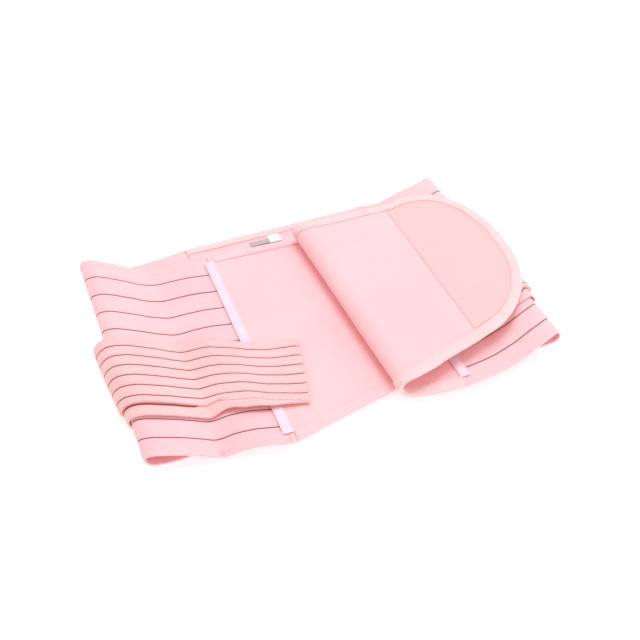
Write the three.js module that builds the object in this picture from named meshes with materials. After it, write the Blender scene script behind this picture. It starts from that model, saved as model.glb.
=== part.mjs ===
// An abdominal binder that lies flat on a table as a loop, seen with one front panel folded open.
// Millimetres, +Z up. X runs along the belt, Y runs across it and away from the viewer.
import * as THREE from "three";
import { mergeVertices } from "three/addons/utils/BufferGeometryUtils.js";

// Cloth thicknesses, and the gap between pieces that lie on each other
const ELASTIC_THICK = 1.4;
const STRAP_THICK = 1.4;
const PANEL_THICK = 2.4;
const BINDING_THICK = 0.6;
const TAPE_THICK = 0.6;
const HOOK_THICK = 0.8;
const TAG_THICK = 0.5;
const GAP = 0.3;

// The flattened loop: where it folds and where its seams lie
const BELT_WIDTH = 221; // across the body elastic, from its near edge to its far edge
const LOOP_LENGTH = 328; // from the left fold to the right fold
const LEFT_REACH = 99; // left fold to the front seam
const RIGHT_REACH = 90; // right fold to the front seam
const LEFT_SKEW = 28; // how far the left front seam has slid towards the viewer
const RIGHT_SKEW = 29; // the same for the right front seam
const LEFT_CREST_NEAR = 9.5; // rise of the left fold at the near edge and at the far edge
const LEFT_CREST_FAR = 16;
const RIGHT_CREST_NEAR = 9;
const RIGHT_CREST_FAR = 17.5;

// Padded panels
const BACK_LEFT = 86; // left fold to the back panel's left seam
const BACK_REACH = 78; // its right seam to the right fold
const BACK_RIGHT = LOOP_LENGTH - BACK_REACH;
const BACK_TRIM = 2; // how much narrower it is than the elastics
const BACK_WIDTH = BELT_WIDTH - BACK_TRIM;
const BACK_NEAR = -2; // its near edge
const FRONT_LENGTH = 160; // front panel, from its seam to its rounded end
const FRONT_TIP_WIDTH = 190; // its width where the rounding starts
const FRONT_ROUND = 42; // length of its rounded end
const FOLD_REACH = 57; // hook panel, from its seam to where it folds back
const FLAP_REACH = 157.5; // from that fold to the end of the flap
const FLAP_RISE = 16.5; // how high the fold stands
const HOOK_TIP_WIDTH = 179;
const HOOK_ROUND = 70;
const ROUND_POWER = 2.2; // 2 makes the rounded ends elliptical, more makes them squarer
const BINDING_WIDTH = 8.5;
const HOOK_PATCH_LENGTH = 77.5; // hook fastener on the end of the flap

// Ribbon, straps and tags
const TAPE_WIDTH = 8;
const TAPE_INSET = 8; // the ribbon ends this far inside the edges, at the hems
const STRAP_RISE = 4.5; // how far the loose strap stands off the elastic
const STRAP_END_LEAN = 13; // its free end reaches further at its far corner
const STRAP_END_PIVOT = 0.61; // the share of its width that the lean turns about
const STRAP_KINK_LEAN = 1; // its creases run aslant, by this share of a row over its width
const STRAP_KINK_PIVOT = 0.3; // the share of its width where a crease keeps to its row
const STRAP_KINK_ROWS = [5, 7]; // the creases are square to it before these rows, and aslant after them
const STRAP_FLAT_ROWS = [9.2, 10.6]; // its near strip is level with the rest after these rows
const STRAP_CORNER = 3.5; // radius of the corners of its free end
const STRAP_HOOK_LENGTH = 18;
const STRAP_HOOK_MARGIN = 5; // the hook fastener lies this far inside the strap's edges
const TAG_WIDTH = 11;
const TAG_LENGTH = 12;
const TAG_X = 159;
const LABEL_WIDTH = 17;
const LABEL_LENGTH = 7;
const LABEL_DROP = 4; // the label lies this far inside the binding

// Height of a piece's middle surface over what it lies on
const BINDING_BUILD = GAP + BINDING_THICK;
const OVER_STRAP = STRAP_THICK + GAP + ELASTIC_THICK / 2;
const OVER_LOOP = OVER_STRAP + ELASTIC_THICK + GAP;
const BACK_MIDDLE = PANEL_THICK / 2 + BINDING_BUILD;
const PANEL_STEP = PANEL_THICK + 2 * BINDING_BUILD + GAP;
const OVER_BACK = BACK_MIDDLE + PANEL_STEP;
const OVER_FRONT = OVER_BACK + PANEL_STEP;
const SEAM_RIGHT = LOOP_LENGTH - RIGHT_REACH;
const FLAP_FOLD = SEAM_RIGHT - FOLD_REACH;

// The left band runs from the back seam along the underside, round the left fold and over the top.
// x is a share of LEFT_REACH, near and far are shares of the crest heights, skew is of LEFT_SKEW.
// Where the belt isn't folded square, lean, of the same length as x, is how far x shifts from the near
// edge to the far edge.
const LEFT_LOOP = [
  { x: 0.865, level: OVER_STRAP, near: 0, far: 0, skew: 0.12 },
  { x: 0.54, level: OVER_STRAP, near: 0, far: 0, skew: 0.28 },
  { x: 0.24, level: OVER_STRAP, near: 0, far: 0, skew: 0.32 },
  { x: 0.02, lean: -0.04, level: OVER_STRAP, near: 0.1, far: 0.08, skew: 0.26 },
  { x: -0.033, lean: -0.05, level: OVER_STRAP, near: 0.6, far: 0.62, skew: 0.18 },
  { x: -0.008, lean: -0.05, level: OVER_LOOP, near: 0.88, far: 0.9, skew: 0.24 },
  { x: 0.06, lean: -0.04, level: OVER_LOOP, near: 1, far: 1, skew: 0.31 },
  { x: 0.26, level: OVER_LOOP, near: 0.78, far: 0.46, skew: 0.49 },
  { x: 0.4, level: OVER_LOOP, near: 0.42, far: 0.1, skew: 0.62 },
  { x: 0.52, level: OVER_LOOP, near: 0.06, far: 0.01, skew: 0.72 },
  { x: 0.66, level: OVER_LOOP, near: 0.38, far: 0.05, skew: 0.78 },
  { x: 0.8, level: OVER_LOOP, near: 0.5, far: 0.14, skew: 0.87 },
];

// The front panel goes on from the seam: x is a share of FRONT_LENGTH from there.
const FRONT_RUN = [
  { x: 0, level: OVER_BACK, near: 0.07, far: 0.04, skew: 1 },
  { x: 0.13, level: OVER_BACK, near: 0, far: 0, skew: 0.92 },
  { x: 0.29, level: OVER_BACK, near: 0, far: 0, skew: 0.83 },
  { x: 0.51, level: OVER_BACK, near: 0, far: 0, skew: 0.73 },
  { x: 1, level: OVER_BACK, near: 0, far: 0, skew: 0.52 },
];

// The right band does the same from its back seam, round the right fold: x is a share of RIGHT_REACH.
const RIGHT_LOOP = [
  { x: 0.868, level: OVER_STRAP, near: 0, far: 0, skew: 0.06 },
  { x: 0.5, level: OVER_STRAP, near: 0, far: 0, skew: 0.19 },
  { x: 0.22, level: OVER_STRAP, near: 0, far: 0, skew: 0.25 },
  { x: 0.045, lean: -0.02, level: OVER_STRAP, near: 0.04, far: 0.06, skew: 0.23 },
  { x: -0.005, lean: -0.03, level: OVER_STRAP, near: 0.5, far: 0.6, skew: 0.2 },
  { x: 0.04, lean: -0.03, level: OVER_LOOP, near: 0.88, far: 0.88, skew: 0.23 },
  { x: 0.11, lean: -0.02, level: OVER_LOOP, near: 1, far: 1, skew: 0.33 },
  { x: 0.25, level: OVER_LOOP, near: 0.78, far: 0.95, skew: 0.46 },
  { x: 0.42, level: OVER_LOOP, near: 0.44, far: 0.97, skew: 0.61 },
  { x: 0.58, level: OVER_LOOP, near: 0.42, far: 0.94, skew: 0.75 },
  { x: 0.76, level: OVER_LOOP, near: 0.62, far: 0.86, skew: 0.9 },
];

// The hook panel goes on from the right seam to the left: x is a share of FOLD_REACH from the seam,
// and near and far are shares of FLAP_RISE.
const HOOK_RUN = [
  { x: 0, near: 0, far: 0.06, skew: 1 },
  { x: 0.42, near: 0, far: 0.02, skew: 1.05 },
  { x: 0.8, lean: -0.14, near: 0, far: 0, skew: 1.04 },
  { x: 0.95, lean: -0.15, near: 0.17, far: 0.17, skew: 0.98 },
  { x: 0.99, lean: -0.15, near: 0.45, far: 0.5, skew: 0.96 },
];

// Then it comes back over itself: x is a share of FLAP_REACH from the fold.
const FLAP_RUN = [
  { x: 0.025, lean: -0.055, near: 0.78, far: 0.86, skew: 0.99 },
  { x: 0.08, lean: -0.05, near: 0.88, far: 1, skew: 1 },
  { x: 0.18, lean: -0.03, near: 0.85, far: 0.97, skew: 0.96 },
  { x: 0.34, near: 0.8, far: 0.92, skew: 0.81 },
  { x: 0.5, near: 0.75, far: 0.88, skew: 0.67 },
  { x: 0.68, near: 0.7, far: 0.86, skew: 0.4 },
  { x: 0.84, near: 0.62, far: 0.84, skew: 0.18 },
  { x: 1, near: 0.55, far: 0.82, skew: 0.08 },
];

// Each strap lies along its band: at counts the band's rows, near and far are shares of BELT_WIDTH,
// and nearRise and farRise, shares of STRAP_RISE, say how far its sides stand off the elastic.
const LEFT_STRAP_COURSE = [
  { at: 0, near: 0.15, far: 0.5, nearRise: 0, farRise: 0 },
  { at: 3, near: 0.155, far: 0.512, nearRise: 0, farRise: 0 },
  { at: 4, near: 0.163, far: 0.522, nearRise: 0.7, farRise: 2 },
  { at: 6, near: 0.163, far: 0.518, nearRise: 0.8, farRise: 1.2 },
  { at: 9, near: 0.163, far: 0.517, nearRise: 0.7, farRise: 0.6 },
  { at: 10, near: 0.173, far: 0.508, nearRise: 0.8, farRise: 0.85 },
  { at: 11, near: 0.157, far: 0.492, nearRise: 0.8, farRise: 1.1 },
  { at: 12, near: 0.15, far: 0.466, nearRise: 0.3, farRise: 0.5 },
  { at: 13, near: 0.13, far: 0.431, nearRise: 0.06, farRise: 0.06 },
  { at: 13.5, near: 0.114, far: 0.412, nearRise: 0, farRise: 0 },
];
const RIGHT_STRAP_COURSE = [
  { at: 0, near: 0.19, far: 0.54, nearRise: 0, farRise: 0 },
  { at: 3, near: 0.19, far: 0.53, nearRise: 0, farRise: 0 },
  { at: 4, near: 0.19, far: 0.53, nearRise: 1.1, farRise: 0.6 },
  { at: 6, near: 0.19, far: 0.53, nearRise: 0.3, farRise: 0.3 },
  { at: 8, near: 0.19, far: 0.53, nearRise: 0.1, farRise: 0.1 },
  { at: 9.5, near: 0.19, far: 0.53, nearRise: 0, farRise: 0 },
];

const STEPS = 4; // facets between two rows of a band
const LENGTH_STEPS = 24; // LENGTH_STEPS steps between two rows, to measure the cloth's length

// A value between the rows of a table, with no overshoot: u counts the rows from 0.
function between(rows, column, u) {
  const last = rows.length - 1;
  const i = Math.min(Math.max(Math.floor(u), 0), last - 1);
  const f = u - i;
  const step = (k) => rows[k + 1][column] - rows[k][column];
  const slope = (k) => {
    if (k === 0) return step(0);
    if (k === last) return step(last - 1);
    const product = step(k - 1) * step(k);
    return product > 0 ? (2 * product) / (step(k - 1) + step(k)) : 0;
  };
  return (
    rows[i][column] * (1 + 2 * f) * (1 - f) ** 2 +
    slope(i) * f * (1 - f) ** 2 +
    rows[i + 1][column] * f * f * (3 - 2 * f) +
    slope(i + 1) * f * f * (f - 1)
  );
}

// A band of cloth laid through its rows. place(s, w, out) is the point s along the cloth and w across it,
// out from its middle surface towards the side that faces away from the body.
function band(rows, facing) {
  const at = (u, w) =>
    new THREE.Vector3(
      between(rows, "x", u) + between(rows, "lean", u) * (w / BELT_WIDTH - 0.5),
      between(rows, "y", u) + w,
      THREE.MathUtils.lerp(between(rows, "near", u), between(rows, "far", u), w / BELT_WIDTH),
    );
  const lengths = [0];
  for (let k = 1; k <= (rows.length - 1) * LENGTH_STEPS; k++) {
    const piece = at(k / LENGTH_STEPS, BELT_WIDTH / 2).sub(at((k - 1) / LENGTH_STEPS, BELT_WIDTH / 2));
    lengths.push(lengths[k - 1] + Math.hypot(piece.x, piece.z));
  }
  const lengthTo = (u) => {
    const k = Math.min(Math.floor(u * LENGTH_STEPS), lengths.length - 2);
    return THREE.MathUtils.lerp(lengths[k], lengths[k + 1], u * LENGTH_STEPS - k);
  };
  const rowAt = (s) => {
    let k = 0;
    while (k < lengths.length - 2 && lengths[k + 1] < s) k++;
    return (k + (s - lengths[k]) / (lengths[k + 1] - lengths[k])) / LENGTH_STEPS;
  };
  const place = (s, w, out) => {
    const u = rowAt(s);
    const nudge = 0.02;
    const run = at(u + nudge, w).sub(at(u - nudge, w));
    const outward = new THREE.Vector3(-run.z, 0, run.x).normalize().multiplyScalar(facing);
    return at(u, w).addScaledVector(outward, out);
  };
  const stations = (from, to) => {
    const list = [];
    for (let k = Math.round(from * STEPS); k <= Math.round(to * STEPS); k++) list.push(lengthTo(k / STEPS));
    return list;
  };
  return { place, lengthTo, stations };
}

// One closed body from its faces, each a list of corner points in order round it.
function closedBody(faces) {
  const corners = [];
  for (const face of faces)
    for (let k = 2; k < face.length; k++) corners.push(face[0], face[k - 1], face[k]);
  let volume = 0;
  for (let k = 0; k < corners.length; k += 3)
    volume += corners[k].dot(corners[k + 1].clone().cross(corners[k + 2]));
  if (volume < 0)
    for (let k = 0; k < corners.length; k += 3)
      [corners[k + 1], corners[k + 2]] = [corners[k + 2], corners[k + 1]];
  const merged = mergeVertices(new THREE.BufferGeometry().setFromPoints(corners), 1e-3);
  const kept = [];
  const index = merged.index.array;
  for (let k = 0; k < index.length; k += 3) {
    const [a, b, c] = index.slice(k, k + 3);
    if (a !== b && b !== c && c !== a) kept.push(a, b, c);
  }
  merged.setIndex(kept);
  merged.computeVertexNormals();
  return merged;
}

// A sheet with thickness: corner(i, j, side) is a point of its grid, on one side or the other.
function sheet(columns, rows, corner) {
  const faces = [];
  const grid = [0, 1].map((side) =>
    Array.from({ length: columns + 1 }, (_, i) =>
      Array.from({ length: rows + 1 }, (_, j) => corner(i, j, side)),
    ),
  );
  const [under, over] = grid;
  for (let i = 0; i < columns; i++)
    for (let j = 0; j < rows; j++) {
      faces.push([over[i][j], over[i + 1][j], over[i + 1][j + 1], over[i][j + 1]]);
      faces.push([under[i][j + 1], under[i + 1][j + 1], under[i + 1][j], under[i][j]]);
    }
  for (let i = 0; i < columns; i++) {
    faces.push([under[i][0], under[i + 1][0], over[i + 1][0], over[i][0]]);
    faces.push([over[i][rows], over[i + 1][rows], under[i + 1][rows], under[i][rows]]);
  }
  for (let j = 0; j < rows; j++) {
    faces.push([over[0][j], over[0][j + 1], under[0][j + 1], under[0][j]]);
    faces.push([under[columns][j], under[columns][j + 1], over[columns][j + 1], over[columns][j]]);
  }
  return closedBody(faces);
}

// A binding folded round an edge: its C section has an outer and an inner line of four points.
function binding(edge, place) {
  const outer = PANEL_THICK / 2 + BINDING_BUILD;
  const inner = PANEL_THICK / 2 + GAP;
  const section = [
    [BINDING_WIDTH, outer],
    [-BINDING_BUILD, outer],
    [-BINDING_BUILD, -outer],
    [BINDING_WIDTH, -outer],
    [BINDING_WIDTH, -inner],
    [-GAP, -inner],
    [-GAP, inner],
    [BINDING_WIDTH, inner],
  ];
  const rings = edge.map(({ s, w, inS, inW }) =>
    section.map(([inset, out]) => place(s + inS * inset, w + inW * inset, out)),
  );
  const faces = [];
  for (let i = 1; i < rings.length; i++)
    section.forEach((_, k) => {
      const next = (k + 1) % section.length;
      faces.push([rings[i - 1][k], rings[i][k], rings[i][next], rings[i - 1][next]]);
    });
  const cap = (ring) =>
    [
      [0, 1, 6, 7],
      [1, 2, 5, 6],
      [2, 3, 4, 5],
    ].map((corners) => corners.map((k) => ring[k]));
  faces.push(...cap(rings[0]));
  faces.push(...cap(rings[rings.length - 1]).map((face) => face.reverse()));
  return closedBody(faces);
}

// The outline of a panel that tapers from the belt's width and ends round.
// half(d) is half its width at the distance d from its seam.
function tongue(length, tipWidth, round) {
  const straight = length - round;
  return (d) => {
    const taper = THREE.MathUtils.lerp(BELT_WIDTH, tipWidth, Math.min(d / straight, 1)) / 2;
    const past = Math.min(Math.max((d - straight) / round, 0), 1);
    return taper * (1 - past ** ROUND_POWER) ** (1 / ROUND_POWER);
  };
}

// The distances from the seam at which a tongue is cut: the band's own, then closer towards the tip.
function tongueStations(stations, length, round) {
  const straight = length - round;
  const turns = 10;
  const list = stations.filter((d) => d < straight - GAP);
  for (let k = 0; k <= turns; k++) list.push(straight + round * Math.sin((k / turns) * (Math.PI / 2)));
  return list;
}

// The edge of a tongue from the seam along its near side, round its tip and back on its far side.
function tongueEdge(stations, half, seam) {
  const nearSide = stations.map((d) => ({ s: seam + d, w: BELT_WIDTH / 2 - half(d) }));
  const farSide = stations.map((d) => ({ s: seam + d, w: BELT_WIDTH / 2 + half(d) })).reverse();
  const points = [...nearSide, ...farSide.slice(1)];
  return points.map((point, k) => {
    const before = points[Math.max(k - 1, 0)];
    const after = points[Math.min(k + 1, points.length - 1)];
    const run = new THREE.Vector2(after.s - before.s, after.w - before.w).normalize();
    const cutSquare = k === 0 || k === points.length - 1; // its two ends follow the seam
    return { ...point, inS: cutSquare ? 0 : -run.y, inW: run.x };
  });
}

const cloth = (color, roughness) =>
  new THREE.MeshStandardMaterial({ color, roughness, metalness: 0, side: THREE.DoubleSide });
const PANEL_PINK = cloth(0xfde0e4, 0.85);
const ELASTIC_PINK = cloth(0xfbd3dc, 0.8);
const STRAP_PINK = cloth(0xfbcfcd, 0.8);
const BINDING_PINK = cloth(0xfde6ea, 0.75);
const RIBBON_LILAC = cloth(0xf3e0fa, 0.5);
const HOOK_PEACH = cloth(0xf9cfc8, 0.95);
const TAG_WHITE = cloth(0xfafafa, 0.7);
const LABEL_GREY = cloth(0xd9d4d2, 0.7);

const layout = new THREE.Group();
function add(name, geometry, material) {
  const mesh = new THREE.Mesh(geometry, material);
  mesh.name = name;
  layout.add(mesh);
}

// The two bands that lead from the back seams over the folds to the front panels
const laid = (rows, from, reach, skew, nearRise, farRise) =>
  rows.map((row) => ({
    x: from + row.x * reach,
    lean: (row.lean ?? 0) * Math.abs(reach),
    y: -row.skew * skew,
    near: (row.level ?? OVER_FRONT) + row.near * nearRise,
    far: (row.level ?? OVER_FRONT) + row.far * farRise,
  }));
const leftRows = [
  ...laid(LEFT_LOOP, 0, LEFT_REACH, LEFT_SKEW, LEFT_CREST_NEAR, LEFT_CREST_FAR),
  ...laid(FRONT_RUN, LEFT_REACH, FRONT_LENGTH, LEFT_SKEW, LEFT_CREST_NEAR, LEFT_CREST_FAR),
];
const rightRows = [
  ...laid(RIGHT_LOOP, LOOP_LENGTH, -RIGHT_REACH, RIGHT_SKEW, RIGHT_CREST_NEAR, RIGHT_CREST_FAR),
  ...laid(HOOK_RUN, SEAM_RIGHT, -FOLD_REACH, RIGHT_SKEW, FLAP_RISE, FLAP_RISE),
  ...laid(FLAP_RUN, FLAP_FOLD, FLAP_REACH, RIGHT_SKEW, FLAP_RISE, FLAP_RISE),
];
const leftBand = band(leftRows, 1);
const rightBand = band(rightRows, -1);
const LEFT_SEAM_ROW = LEFT_LOOP.length;
const RIGHT_SEAM_ROW = RIGHT_LOOP.length;
const leftSeam = leftBand.lengthTo(LEFT_SEAM_ROW);
const rightSeam = rightBand.lengthTo(RIGHT_SEAM_ROW);

// Body elastics: from the back seam to the front seam
function bodyElastic(name, loop, seamRow, seam) {
  const along = loop.stations(0, seamRow);
  along[along.length - 1] = seam - GAP / 2;
  const across = 4;
  const geometry = sheet(along.length - 1, across, (i, j, side) =>
    loop.place(along[i], (j / across) * BELT_WIDTH, (side - 0.5) * ELASTIC_THICK),
  );
  add(name, geometry, ELASTIC_PINK);
}
bodyElastic("left_elastic", leftBand, LEFT_SEAM_ROW, leftSeam);
bodyElastic("right_elastic", rightBand, RIGHT_SEAM_ROW, rightSeam);

// Front panel and hook panel: padded tongues with a bound edge
function padded(name, loop, seamRow, lastRow, tipWidth, round) {
  const seam = loop.lengthTo(seamRow);
  const length = loop.lengthTo(lastRow) - seam;
  const half = tongue(length, tipWidth, round);
  const own = loop.stations(seamRow, lastRow).map((s) => s - seam);
  own[0] = GAP / 2;
  const along = tongueStations(own, length, round);
  const across = 4;
  const geometry = sheet(along.length - 1, across, (i, j, side) => {
    const w = BELT_WIDTH / 2 + half(along[i]) * ((2 * j) / across - 1);
    return loop.place(seam + along[i], w, (side - 0.5) * PANEL_THICK);
  });
  add(name, geometry, PANEL_PINK);
  const bound = [TAPE_WIDTH / 2 + GAP, ...along.filter((d) => d > TAPE_WIDTH)];
  const edge = tongueEdge(bound, half, seam);
  add(name.replace("panel", "binding"), binding(edge, loop.place), BINDING_PINK);
  return { seam, length, half };
}
const frontLast = leftRows.length - 1;
const hookLast = rightRows.length - 1;
padded("front_panel", leftBand, LEFT_SEAM_ROW, frontLast, FRONT_TIP_WIDTH, FRONT_ROUND);
const hook = padded("hook_panel", rightBand, RIGHT_SEAM_ROW, hookLast, HOOK_TIP_WIDTH, HOOK_ROUND);

// Back panel, flat on the table, with its far and near edges bound
const backPlace = (s, w, out) => new THREE.Vector3(s, BACK_NEAR + w, BACK_MIDDLE + out);
const backAcross = [0, BACK_WIDTH];
add(
  "back_panel",
  sheet(1, 1, (i, j, side) =>
    backPlace(
      i ? BACK_RIGHT - GAP : BACK_LEFT + GAP,
      backAcross[j],
      (side - 0.5) * PANEL_THICK,
    ),
  ),
  PANEL_PINK,
);
[
  { name: "back_binding_near", w: 0, inW: 1 },
  { name: "back_binding_far", w: BACK_WIDTH, inW: -1 },
].forEach(({ name, w, inW }) => {
  const edge = [BACK_LEFT + GAP, BACK_RIGHT - GAP].map((s) => ({ s, w, inS: 0, inW }));
  add(name, binding(edge, backPlace), BINDING_PINK);
});

// Hook fastener on the inner face of the flap: a D that fills the rounded end inside the binding
function hookPatch() {
  const inset = BINDING_WIDTH + GAP;
  const start = hook.length - HOOK_PATCH_LENGTH;
  const along = [start];
  const turns = 12;
  const straight = hook.length - HOOK_ROUND;
  for (let k = 0; k <= turns; k++) along.push(straight + HOOK_ROUND * Math.sin((k / turns) * (Math.PI / 2)));
  const edge = tongueEdge(along, hook.half, hook.seam);
  const low = PANEL_THICK / 2 + GAP;
  const across = 3;
  const last = edge.length - 1;
  const chordS = hook.seam + start;
  const rim = edge.map(({ s, w, inS, inW }) => ({ s: s + inS * inset, w: w + inW * inset }));
  const chord = (i) => THREE.MathUtils.lerp(rim[0].w, rim[last].w, i / last);
  const geometry = sheet(last - 2, across, (i, j, side) => {
    const at = rim[i + 1];
    const s = THREE.MathUtils.lerp(at.s, chordS, j / across);
    const w = THREE.MathUtils.lerp(at.w, chord(i + 1), j / across);
    return rightBand.place(s, w, -low - side * HOOK_THICK);
  });
  add("hook_patch", geometry, HOOK_PEACH);
}
hookPatch();

// Ribbons that cover the front seams
function seamTape(name, loop, seam) {
  const low = PANEL_THICK / 2 + GAP;
  const along = [-0.5, 0, 0.5];
  const across = 6;
  const span = BELT_WIDTH - 2 * TAPE_INSET;
  const geometry = sheet(along.length - 1, across, (i, j, side) =>
    loop.place(seam + along[i] * TAPE_WIDTH, TAPE_INSET + (j / across) * span, low + side * TAPE_THICK),
  );
  add(name, geometry, RIBBON_LILAC);
}
seamTape("left_seam_tape", leftBand, leftSeam);
seamTape("right_seam_tape", rightBand, rightSeam);

// Reinforcing straps outside the elastics, each with a hook fastener under its free end
const STRAP_LINES = [
  { v: 0, crown: 0.3 }, // crown is the share of its rise that each line across the strap takes
  { v: 0.095, crown: 0.35 },
  { v: 0.15, crown: 1 },
  { v: 0.4, crown: 1 },
  { v: 0.62, crown: 1 },
  { v: 0.84, crown: 1 },
  { v: 1, crown: 1 },
];
function crownAt(v) {
  const k = Math.max(STRAP_LINES.findIndex((line) => line.v >= v), 1);
  const [before, after] = [STRAP_LINES[k - 1], STRAP_LINES[k]];
  return THREE.MathUtils.mapLinear(v, before.v, after.v, before.crown, after.crown);
}
function strap(name, loop, course, hooksOnto) {
  const along = loop.stations(0, course[course.length - 1].at);
  const end = along.length - 1;
  const onElastic = ELASTIC_THICK / 2 + GAP + STRAP_THICK / 2;
  const onHook = hooksOnto.thick / 2 + GAP + HOOK_THICK + GAP + STRAP_THICK / 2;
  const climb = hooksOnto.at ?? along[end] - STRAP_HOOK_LENGTH - TAPE_WIDTH;
  const rowOf = (at) => {
    const k = Math.max(course.findIndex((row) => row.at >= at), 1);
    return k - 1 + (at - course[k - 1].at) / (course[k].at - course[k - 1].at);
  };
  const spot = (i, v, out) => {
    const u = rowOf(i / STEPS);
    const side = (column) => between(course, column, u);
    const onTop = THREE.MathUtils.smoothstep(i / STEPS, ...STRAP_KINK_ROWS);
    const aslant = STRAP_KINK_LEAN * (v - STRAP_KINK_PIVOT) * onTop;
    const creaseRow = rowOf(Math.min(i / STEPS + aslant, end / STEPS));
    const creased = (column) => {
      const k = THREE.MathUtils.clamp(Math.floor(creaseRow), 0, course.length - 2);
      return THREE.MathUtils.lerp(course[k][column], course[k + 1][column], creaseRow - k);
    };
    const s = along[i] + STRAP_END_LEAN * (v - STRAP_END_PIVOT) * Math.max(0, 1 - (end - i) / STEPS);
    const climbed = THREE.MathUtils.smoothstep(s, climb - 3 * TAPE_WIDTH, climb - TAPE_WIDTH);
    const base = THREE.MathUtils.lerp(onElastic, onHook, climbed);
    const flat = THREE.MathUtils.smoothstep(i / STEPS, ...STRAP_FLAT_ROWS);
    const crown = THREE.MathUtils.lerp(crownAt(v), 1, flat);
    const rise =
      THREE.MathUtils.lerp(creased("nearRise"), creased("farRise"), v) * STRAP_RISE * crown;
    const inCorner = Math.max(0, STRAP_CORNER - (along[end] - along[i]));
    const tuck = STRAP_CORNER - Math.sqrt(STRAP_CORNER ** 2 - inCorner ** 2);
    const w = THREE.MathUtils.lerp(side("near") * BELT_WIDTH + tuck, side("far") * BELT_WIDTH - tuck, v);
    return loop.place(s, w, base + rise + out);
  };
  const geometry = sheet(end, STRAP_LINES.length - 1, (i, j, side) =>
    spot(i, STRAP_LINES[j].v, (side - 0.5) * STRAP_THICK),
  );
  add(name, geometry, STRAP_PINK);

  const hookEnd = end - 1;
  let hookStart = hookEnd;
  while (along[hookEnd] - along[hookStart] < STRAP_HOOK_LENGTH) hookStart--;
  const margin = STRAP_HOOK_MARGIN / ((between(course, "far", 0) - between(course, "near", 0)) * BELT_WIDTH);
  const inside = STRAP_LINES.map((line) => line.v).filter((v) => v > margin && v < 1 - margin);
  const across = [margin, ...inside, 1 - margin];
  const under = -STRAP_THICK / 2 - GAP - HOOK_THICK;
  const patch = sheet(hookEnd - hookStart, across.length - 1, (i, j, side) =>
    spot(hookStart + i, across[j], under + side * HOOK_THICK),
  );
  add(`${name}_hook`, patch, HOOK_PEACH);
}
strap("left_strap", leftBand, LEFT_STRAP_COURSE, { thick: PANEL_THICK, at: leftSeam });
strap("right_strap", rightBand, RIGHT_STRAP_COURSE, { thick: ELASTIC_THICK });

// Size tag and care label, both blank, sewn on the inner face of the back panel by its far edge
const labelFloor = PANEL_THICK / 2 + GAP;
function label(name, x, width, far, length, material) {
  const geometry = sheet(1, 1, (i, j, side) =>
    backPlace(x + i * width, far - (1 - j) * length, labelFloor + side * TAG_THICK),
  );
  add(name, geometry, material);
}
const labelFar = BACK_WIDTH - BINDING_WIDTH - GAP;
label("size_tag", TAG_X, TAG_WIDTH, labelFar, TAG_LENGTH, TAG_WHITE);
label("care_label", TAG_X - GAP - LABEL_WIDTH, LABEL_WIDTH, labelFar - LABEL_DROP, LABEL_LENGTH, LABEL_GREY);

// The origin is the middle of the underside
const box = new THREE.Box3().setFromObject(layout);
const middle = box.getCenter(new THREE.Vector3());
layout.position.set(-middle.x, -middle.y, -box.min.z);
const binder = new THREE.Group();
binder.add(layout);
export default binder;
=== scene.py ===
# %% [markdown]
# # An abdominal binder, laid flat and folded open
# The belt is a loop of padded panels and wide elastics. It lies on a table, pressed flat, and one front
# panel is folded back as a flap. Everything on it is cloth, so this lesson is about one idea: draw each
# piece as the flat cut that a sewer would lay on the bench, give it its pattern there, and only then
# move it to where it lies. Lengths are millimetres until the last moment, then Blender's metres.

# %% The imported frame
import math
from bisect import bisect_left
from functools import lru_cache, partial
from types import SimpleNamespace

import bmesh
import bpy
from mathutils import Matrix, Vector, noise


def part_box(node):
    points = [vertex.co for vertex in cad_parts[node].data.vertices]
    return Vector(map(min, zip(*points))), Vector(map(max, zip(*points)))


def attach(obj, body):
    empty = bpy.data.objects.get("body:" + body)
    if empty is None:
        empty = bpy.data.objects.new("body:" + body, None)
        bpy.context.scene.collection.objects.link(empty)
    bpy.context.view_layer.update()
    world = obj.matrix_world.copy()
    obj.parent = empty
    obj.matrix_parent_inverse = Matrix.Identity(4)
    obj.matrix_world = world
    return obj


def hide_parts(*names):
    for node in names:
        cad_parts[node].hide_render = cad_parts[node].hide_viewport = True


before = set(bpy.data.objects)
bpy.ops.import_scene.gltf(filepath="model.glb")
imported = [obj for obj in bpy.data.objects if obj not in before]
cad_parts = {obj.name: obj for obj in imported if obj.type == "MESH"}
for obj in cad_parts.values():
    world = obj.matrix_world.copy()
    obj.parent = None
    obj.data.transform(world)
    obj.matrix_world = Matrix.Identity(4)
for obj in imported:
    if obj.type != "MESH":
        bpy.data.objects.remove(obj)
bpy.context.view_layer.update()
MM = 0.001

# %% [markdown]
# ## Sizes
# A maker starts with the cloth: how thick each one is, how wide the belt is, and where the loop folds.
# These are the same named sizes as the solid model's, so the dressed belt lies exactly where the solids
# lie. One corner of the back panel, read from the frame, ties the two together.

# %% Cloth, belt and panel sizes
ELASTIC_THICK = 1.4
STRAP_THICK = 1.4
PANEL_THICK = 2.4
BINDING_THICK = 0.6
TAPE_THICK = 0.6
HOOK_THICK = 0.8
TAG_THICK = 0.5
GAP = 0.3

BELT_WIDTH = 221
LOOP_LENGTH = 328
LEFT_REACH = 99
RIGHT_REACH = 90
LEFT_SKEW = 28
RIGHT_SKEW = 29
LEFT_CREST_NEAR = 9.5
LEFT_CREST_FAR = 16
RIGHT_CREST_NEAR = 9
RIGHT_CREST_FAR = 17.5

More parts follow.
